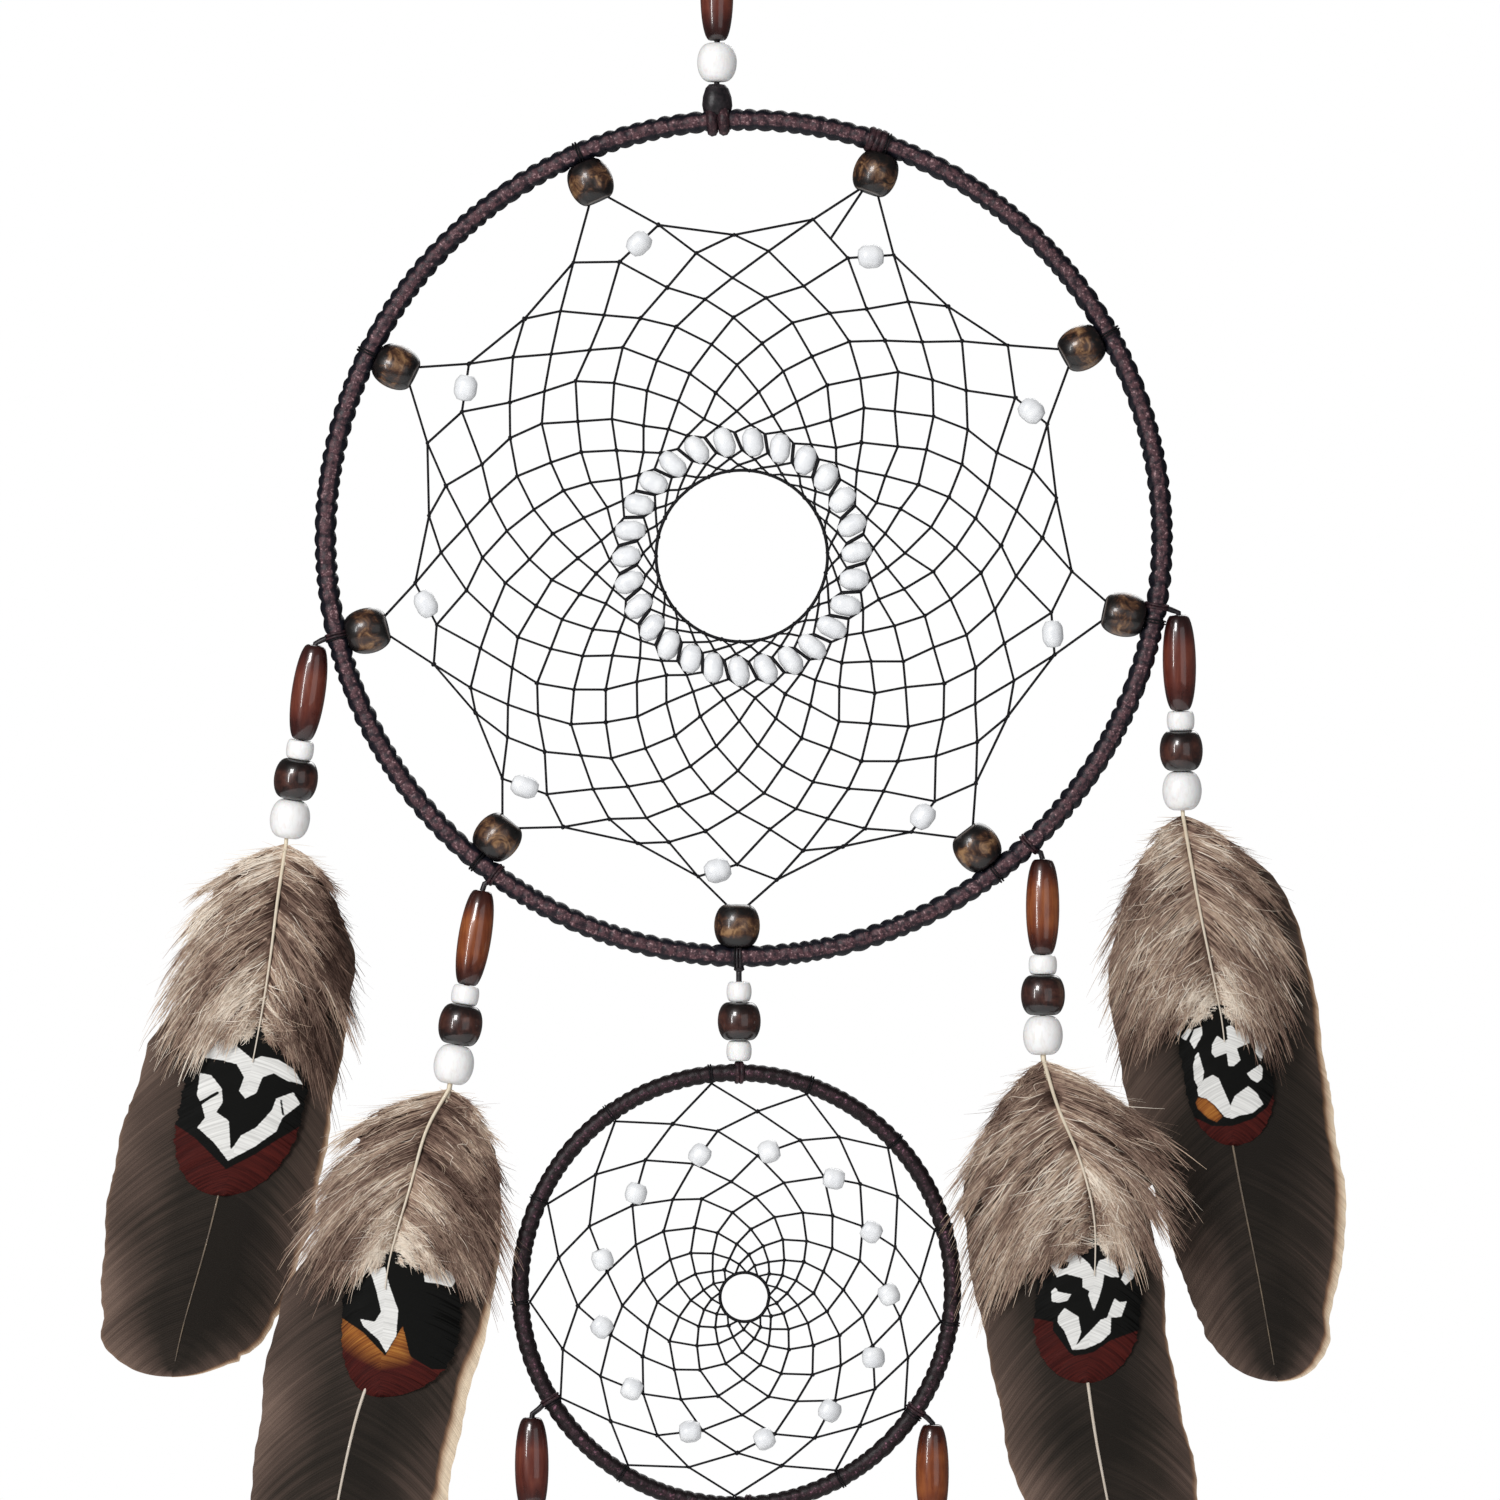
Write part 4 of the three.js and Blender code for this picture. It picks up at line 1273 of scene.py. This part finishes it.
def patches(rng, size):
    """A smooth field of light and dark patches about size across, from -1 to 1."""
    waves = rng.normal(0, 1 / size, (7, 2)) * 2.2
    phases = rng.uniform(0, 2 * np.pi, 7)
    return lambda x, y: np.sin(0.9 * sum(np.sin(w[0] * x + w[1] * y + p) for w, p in zip(waves, phases)))


class Down:
    """The downy part of a body feather: a soft mat with fine strands laid over it along the barbs.
    Barbs leave the quill in tufts about 3 mm apart, which draw together towards their ends."""

    def __init__(self, builder, plane, quill_x, outline, shape, seed):
        self.builder, self.plane, self.quill_x = builder, plane, quill_x
        self.outline, self.shape = outline, shape
        self.rng = np.random.default_rng(seed)
        self.big, self.small = patches(self.rng, 13 * MM), patches(self.rng, 4.5 * MM)
        self.clumps = patches(self.rng, 1.7 * MM)
        self.end = (shape["pattern"] - 1) * MM
        self.last_root = self.end - 1.5 * MM
        self.pitch = 3.1 * MM
        count = int(self.last_root / self.pitch) + 3
        self.reach, self.shade, self.sink = (
            {side: self.rng.normal(0, amount, count) for side in (-1, 1)} for amount in (0.04, 0.08, 0.6 * MM)
        )

    def tuft(self, root):
        place = root / self.pitch + 0.3 * np.sin(root / (2.1 * MM)) + 0.5
        index = np.floor(place).astype(int)
        return index, place - index - 0.5

    def barbs(self, side, root, u, fullness):
        """Barbs fan out sideways at the top, hang steeper further down, and all end above the pattern."""
        index, inside = self.tuft(root)
        aim = np.clip(root - inside * self.pitch * 0.65, 0, self.last_root)
        fall = np.interp(aim, [0, 5 * MM, 14 * MM, 28 * MM], [6, 12, 20, 25]) * MM
        short = np.clip((self.end - aim) / fall, 0.05, 1)
        low = np.clip((aim + fall) / self.end, 0, 1) ** 5
        hem = self.shape["hem"][(side + 1) // 2] * MM
        end = aim + fall * short + hem * short * low + self.sink[side][index] * short * (1 - low)
        waist = np.interp(end / self.end, [0, 0.78, 1.08], [1, 1, self.shape["waist"]])
        limit = self.outline.edge(side, end) * self.shape["down"][(side + 1) // 2] * waist
        fullness = fullness * (1 + self.reach[side][index]) * short**0.9
        end_x = self.quill_x(root) + (limit - self.quill_x(root)) * fullness
        return barb_line(self.quill_x(root), root, end_x, end, u)

    def tone(self, side, x, drop, root):
        index, inside = self.tuft(root)
        away = np.abs(x - self.quill_x(drop))
        depth = np.clip(drop / self.end, 0, 1)
        glow = 0.3 * np.exp(-((away / (6 * MM)) ** 2)) * (0.3 + 0.7 * depth)
        rim = 0.16 * np.clip(away / (26 * MM), 0, 1) ** 2
        left = np.clip(-(x - self.quill_x(drop)) / (20 * MM), -0.6, 1) * self.shape["pale_left"]
        patchy = 0.16 * self.big(x, drop) + 0.13 * self.small(x, drop) + 0.08 * self.clumps(x, drop)
        # self.shade gives each tuft a random tone; the second term is painted shade that darkens each tuft
        # towards its edges, in the gaps between tufts.
        tufts = self.shade[side][index] - 0.08 * (2 * np.abs(inside)) ** 3
        return 0.5 + glow - rim + left + patchy + tufts[:, None]

    def puff(self, x, drop):
        """How far forward the mat stands."""
        away = np.abs(x - self.quill_x(drop)) / (24 * MM)
        start = np.clip(drop / (8 * MM), 0, 1)
        hump = 2.6 * np.sin(np.pi * np.clip(away, 0, 1) ** 0.7) * start
        return (0.9 + hump + 0.5 * self.small(x, drop)) * MM

    def mat(self):
        rows, cols = 150, 22
        for side in (-1, 1):
            root = np.linspace(0.3 * MM, self.last_root, rows)
            s = np.broadcast_to(np.linspace(0, 1, cols), (rows, cols))
            full = 0.84 + 0.05 * self.rng.normal(0, 1, rows)
            flat = self.barbs(side, root, s, np.clip(full, 0.6, 1.0))
            x, drop = flat[..., 0], flat[..., 1] + self.rng.normal(0, 0.25 * MM, rows)[:, None] * s
            tone = self.tone(side, x, drop, root) - 0.15 + self.rng.normal(0, 0.04, rows)[:, None]
            self.builder.add(
                self.plane.place(x, drop, self.puff(x, drop) * (1 - 0.3 * s)).reshape(-1, 3),
                grid_faces(rows, cols)[:, :: -side],
                tone=tone.ravel(),
            )

    def strands(self, count, length, width, lift, lighter, stray, curl=0.35, from_share=(0.0, 0.95)):
        for side in (-1, 1):
            rng = self.rng
            n, m = count // 2, 8
            root = self.last_root * rng.uniform(0, 1, n) ** 1.1
            start = rng.uniform(*from_share, n)
            stretch = rng.uniform(*length, n)
            line = np.linspace(0, 1, m)[None]
            u = start[:, None] + stretch[:, None] * line * (1 - 0.25 * start[:, None])
            flat = self.barbs(side, root, u, rng.uniform(0.82, 1.0, n))
            turn = rng.normal(0, stray, n)[:, None] * line**1.5
            bend = rng.normal(0, curl, n)[:, None] * MM * np.sin(line * rng.uniform(2, 6, n)[:, None]) * line
            x = flat[..., 0] + turn * 5 * MM + bend
            drop = flat[..., 1] - np.abs(turn) * 2 * MM + bend * 0.4 + 0.4 * MM
            rise = 0.1 + rng.uniform(0, 1, n)[:, None] * lift * np.sin(line * 2.4)
            forward = self.puff(x, drop) + rise * MM
            tone = self.tone(side, flat[:, :1, 0], flat[:, :1, 1], root)
            tone = tone + lighter + rng.normal(0, 0.08, n)[:, None]
            tone = tone + 0.1 * line - 0.1 * (1 - line) ** 3
            wide = rng.uniform(*width, n)[:, None] * MM * (1 - 0.8 * line**1.7)
            facing = unit(self.plane.forward + rng.normal(0, 0.35, (n, 3)))
            ribbons(self.builder, self.plane.place(x, drop, forward), wide, facing, 0, tone=tone)


def quill(builder, plane, quill_x, start, end, radius, forward, slot):
    """A feather's shaft from one drop to another, thinner towards its end."""
    drop = np.linspace(start, end, 40)
    line = plane.place(quill_x(drop), drop, np.interp(drop, [start, end], forward))
    tube(builder, line, np.interp(drop, [start, end], [radius, radius * 0.3]), 8, slot)


# Each strand's two feathers: (x, drop) points of the long and the short quill in mm, the short one's
# tip and the drop where its pattern starts, the cream rim on the left and right, how much of the
# outline the long feather fills beside the down, how much the down fills, how far it draws in above
# the pattern and how far it hangs over it on each side, its paler side, and the long quill's radius and
# whether it is dark.
FEATHERS = {
    "outer_left": dict(
        long=[(0, 0), (-6, 35), (-13, 70), (-20, 100), (-27, 125), (-30, 138.5)],
        short=[(0, 0), (-2.3, 15), (-4.5, 32), (-7.5, 50), (-12, 72), (-17, 94)],
        tip="heart", pattern=50.5, rims=(0.05, 0.25), cover=(0.72, 1.0), down=(0.97, 0.92), waist=0.74,
        hem=(0, 6), pale_left=0.38, shaft=(0.5, True),
    ),
    "inner_left": dict(
        long=[(0, 0), (-8, 35), (-17, 65), (-24, 85), (-30, 115), (-33, 146)],
        short=[(0, 0), (-6, 11), (-10, 25), (-15.5, 45), (-17, 62), (-18, 82)],
        tip="amber", pattern=45.5, rims=(0.0, 1.0), cover=(0.8, 1.0), down=(0.96, 0.95), waist=0.78,
        hem=(0, 1), pale_left=0.03, shaft=(0.7, False),
    ),
    "inner_right": dict(
        long=[(0, 0), (5, 35), (9, 65), (13, 95), (17.5, 120), (21.5, 148)],
        short=[(0, 0), (3.6, 12), (9, 25), (12.5, 38), (13.2, 50), (12, 68), (10.6, 86)],
        tip="marbled", pattern=49.5, rims=(0.05, 0.15), cover=(1.0, 0.7), down=(0.98, 0.86), waist=0.85,
        hem=(6, -2), pale_left=0.06, shaft=(0.75, False),
    ),
    "outer_right": dict(
        long=[(0, 0), (4, 30), (9, 60), (14, 90), (20, 120), (25, 148)],
        short=[(0, 0), (2.3, 13), (4.5, 25), (9, 47), (10.4, 55), (12, 70), (13.7, 89)],
        tip="spotted", pattern=52.5, rims=(0.0, 0.6), cover=(0.85, 1.0), down=(0.88, 0.8), waist=0.8,
        hem=(2.5, 2), pale_left=0.0, shaft=(0.5, True),
    ),
    "lower_left": dict(
        long=[(0, 0), (-5, 35), (-10, 70), (-15, 100), (-19, 125), (-21, 138)],
        short=[(0, 0), (-2, 15), (-4, 32), (-7, 50), (-10, 70), (-13, 90)],
        tip="marbled", pattern=48, rims=(0.05, 0.8), cover=(0.8, 1.0), down=(0.95, 0.95), waist=0.8,
        hem=(2, 2), pale_left=0.12, shaft=(0.7, False),
    ),
    "lower_right": dict(
        long=[(0, 0), (5, 35), (10, 70), (15, 100), (19, 125), (21, 138)],
        short=[(0, 0), (2, 15), (4, 32), (7, 50), (10, 70), (13, 90)],
        tip="spotted", pattern=49, rims=(0.8, 0.05), cover=(1.0, 0.8), down=(0.95, 0.95), waist=0.8,
        hem=(2, 2), pale_left=-0.05, shaft=(0.7, False),
    ),
    "lower_centre": dict(
        long=[(0, 0), (-1, 35), (-1, 70), (0, 100), (1, 125), (1, 138)],
        short=[(0, 0), (0.5, 15), (1, 32), (0.5, 50), (0, 70), (-1, 92)],
        tip="heart", pattern=48, rims=(0.4, 0.4), cover=(0.85, 0.85), down=(0.95, 0.95), waist=0.8,
        hem=(2, 2), pale_left=0.05, shaft=(0.7, False),
    ),
}


def make_feathers(name, number):
    shape = FEATHERS[name]
    rng = np.random.default_rng(50 + number)
    plane = Plane(name)
    outline = Outline(name + "_feather", plane, shape["long"][-1][0] * MM)
    long_x, short_x = quill_curve(shape["long"]), quill_curve(shape["short"])
    body = name + "_feather"

    builder = Builder()
    long_vane(builder, plane, long_x, outline, shape, 0, rng)
    radius, dark = shape["shaft"]
    quill(builder, plane, long_x, -0.9 * MM, outline.long * 0.97, radius * MM, (0.3 * MM, 0.45 * MM), 1)
    materials = [VANE, DARK_QUILL if dark else QUILL]
    finish_piece(builder.object(name + "_wing_feather", materials), body, "feather", name + "_feather")

    builder = Builder()
    top = shape["pattern"] * MM
    tip_vane(builder, plane, short_x, top - 1 * MM, shape["tip"], 0, rng, 2.6 * MM)
    quill(builder, plane, short_x, -0.9 * MM, top + 6 * MM, 0.55 * MM, (1.2 * MM, 3.0 * MM), 1)
    finish_piece(builder.object(name + "_body_feather", [TIP, QUILL]), body, "feather")

    builder = Builder()
    down = Down(builder, plane, short_x, outline, shape, 90 + number)
    down.mat()
    down.strands(2700, (0.4, 0.7), (0.18, 0.36), 0.7, -0.03, 0.14)
    down.strands(2000, (0.3, 0.55), (0.09, 0.2), 1.1, 0.07, 0.34, 0.8)
    down.strands(420, (0.2, 0.4), (0.12, 0.24), 1.4, 0.26, 0.6, 1.3, (0.0, 0.7))
    down.strands(700, (0.3, 0.5), (0.05, 0.1), 1.2, 0.08, 0.45, 0.7, (0.6, 0.95))
    finish_piece(builder.object(name + "_down", [DOWN]), body, "feather")


# ---------------------------------------------------------------- hanger and link


def make_hanger():
    """The cord loop for the nail, its two beads, and the knot that holds it on the big hoop."""
    low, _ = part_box("hanging_loop")
    parts = [
        ("hanger_tube_bead", "hanger_pipe_bead", RED_PIPE, "pipe", 5),
        ("hanger_round_bead", "hanger_white_bead", WHITE, "white", 6),
    ]
    beads = [
        make_bead(name, "hanger", material, kind, middle(node), UP, seed, [node])
        for name, node, material, kind, seed in parts
    ]
    bottom = -45.5 * MM
    half = 4.5 * MM
    line = [
        (0, 0, low.z + 0.1 * MM),
        (0, 0, (low.z + bottom) / 2),
        (0, 0, bottom),
        (-half * 0.56, 0, bottom * 0.8),
        (-half, 0, bottom * 0.42),
        (-half * 0.72, 0, bottom * 0.08),
        (0, 0, LACE),
        (half * 0.72, 0, bottom * 0.08),
        (half, 0, bottom * 0.42),
        (half * 0.72, 0, bottom * 0.8),
        (2.5 * MM, 0, bottom),
    ]
    make_lace("hanging_lace", "hanger", line, "hanging_loop", 90)

    builder = Builder()
    top = np.array([0, 0, BIG.centre[2] + BIG.outer])
    # The knot's legs take the satin colour as painted light: a lit copy of the near-black cord of the dome.
    for shift in (-0.8, 0.8):
        hitch(builder, BIG, BIG.degrees_of(top) + shift, 1, 1.5 * MM, 0, -0.8 * MM, slot=1)
    profile = [(0.6, 6.4), (2.0, 6.2), (2.9, 5.2), (3.6, 3.0), (3.8, 0.8), (3.3, -1.6), (0.6, -2.0)]
    lathe(builder, top, UP, np.array(profile) * MM, 32, 0.05, 3)
    finish_piece(builder.object("top_knot", [CORD, SATIN_AND_LIT_CORD]), "big_hoop", "cord")


def make_link():
    """The three beads between the hoops, on a short lace that is hitched to both."""
    parts = [
        ("link_upper_bead", "link_upper_white_bead", WHITE, "link_white"),
        ("link_round_bead", "link_brown_bead", DARK_WOOD, "link_brown"),
        ("link_lower_bead", "link_lower_white_bead", WHITE, "link_white"),
    ]
    for k, (name, node, material, kind) in enumerate(parts):
        make_bead(name, "link", material, kind, middle(node), UP, 80 + k, [node])
    low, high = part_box("link_cord")
    x = (low.x + high.x) / 2
    line = [(x, 0, high.z + 0.1 * MM), (x, 0, (low.z + high.z) / 2), (x, 0, low.z)]
    builder = Builder()
    tube(builder, smooth_line(line, 16), LACE, 14, shape=rope_shape(3, 5 * MM))
    finish_piece(builder.object("link_lace", [CORD]), "link", "cord", "link_cord")
    builder = Builder()
    hitch(builder, BIG, BIG.degrees_of((x, 0, high.z)), 2, 0.35 * MM, 0.8 * MM, 0.1 * MM)
    knot_shape = np.array([(0.3, 0.9), (1.2, 0.6), (1.4, -0.3), (0.3, -1.1)]) * MM
    lathe(builder, np.array([x, 0, high.z + 0.2 * MM]), UP, knot_shape, 20, seed=4)
    finish_piece(builder.object("link_top_hitch", [CORD]), "big_hoop", "cord")
    builder = Builder()
    hitch(builder, SMALL, SMALL.degrees_of((x, 0, low.z)), 2, 0.6 * MM, 1.1 * MM, -0.2 * MM)
    finish_piece(builder.object("link_bottom_hitch", [SATIN_AND_LIT_CORD]), "small_hoop", "cord")


def make_hitches():
    """Cord turns that hold each strand to its hoop."""
    for names, hoop in ((UPPER, BIG), (LOWER, SMALL)):
        for name in names:
            builder = Builder()
            hitch(builder, hoop, tie_degrees(name, hoop), 2, 0.4 * MM, 0.8 * MM, -0.15 * MM)
            finish_piece(builder.object(name + "_hitch", [SATIN_AND_LIT_CORD]), hoop.name, "cord")


def make_bead_threads():
    """The thread that ties each hoop bead to the winding, and three turns where the winding ends."""
    builder = Builder()
    for node in HOOP_BEADS:
        hitch(builder, BIG, BIG.degrees_of(middle(node)), 2, 0.24 * MM, 0.7 * MM, 0.05 * MM)
    finish_piece(builder.object("bead_ties", [WEB_THREAD]), "big_hoop", "web_thread")
    builder = Builder()
    hitch(builder, BIG, BIG.degrees_of(middle("hoop_bead_5")) + 1.5, 3, 1.0 * MM, 1.5 * MM, -0.75 * MM)
    finish_piece(builder.object("winding_end", [SATIN_AND_LIT_CORD]), "big_hoop", "hoop_winding")


# ---------------------------------------------------------------- build

make_camera()
make_world()
make_light("key", (-0.75, -1.5, 0.75), 0.5, 0.5, 17, (1, 1, 1))
make_light("fill", (0.9, -1.6, 0.1), 1.2, 1.2, 3.5, (0.96, 0.98, 1))
make_light("strip", (-0.85, -1.0, 0.15), 0.07, 0.6, 3.5, (1, 1, 1))
make_light("back", (0.3, 1.3, 0.9), 1.0, 1.0, 9, (1, 1, 1))
make_floor(floor_material())
bpy.context.scene.view_settings.view_transform = "Standard"

make_hanger()
for strand in UPPER + LOWER:
    make_strand(strand)
wind_hoop(BIG, 186, BIG_WINDING, "hoop_winding", 1.05 * MM, 1)
wind_hoop(SMALL, 128, SMALL_WINDING, "small_winding", 0.5 * MM, 2)
for hoop in (BIG, SMALL):
    core = frame["nodes"][hoop.name + "_core"]
    core.data.materials.clear()
    core.data.materials.append(STEEL)
make_hoop_beads()
make_bead_threads()
make_big_web()
make_small_web()
make_link()
make_hitches()
for number, strand in enumerate(UPPER + LOWER):
    make_feathers(strand, number)
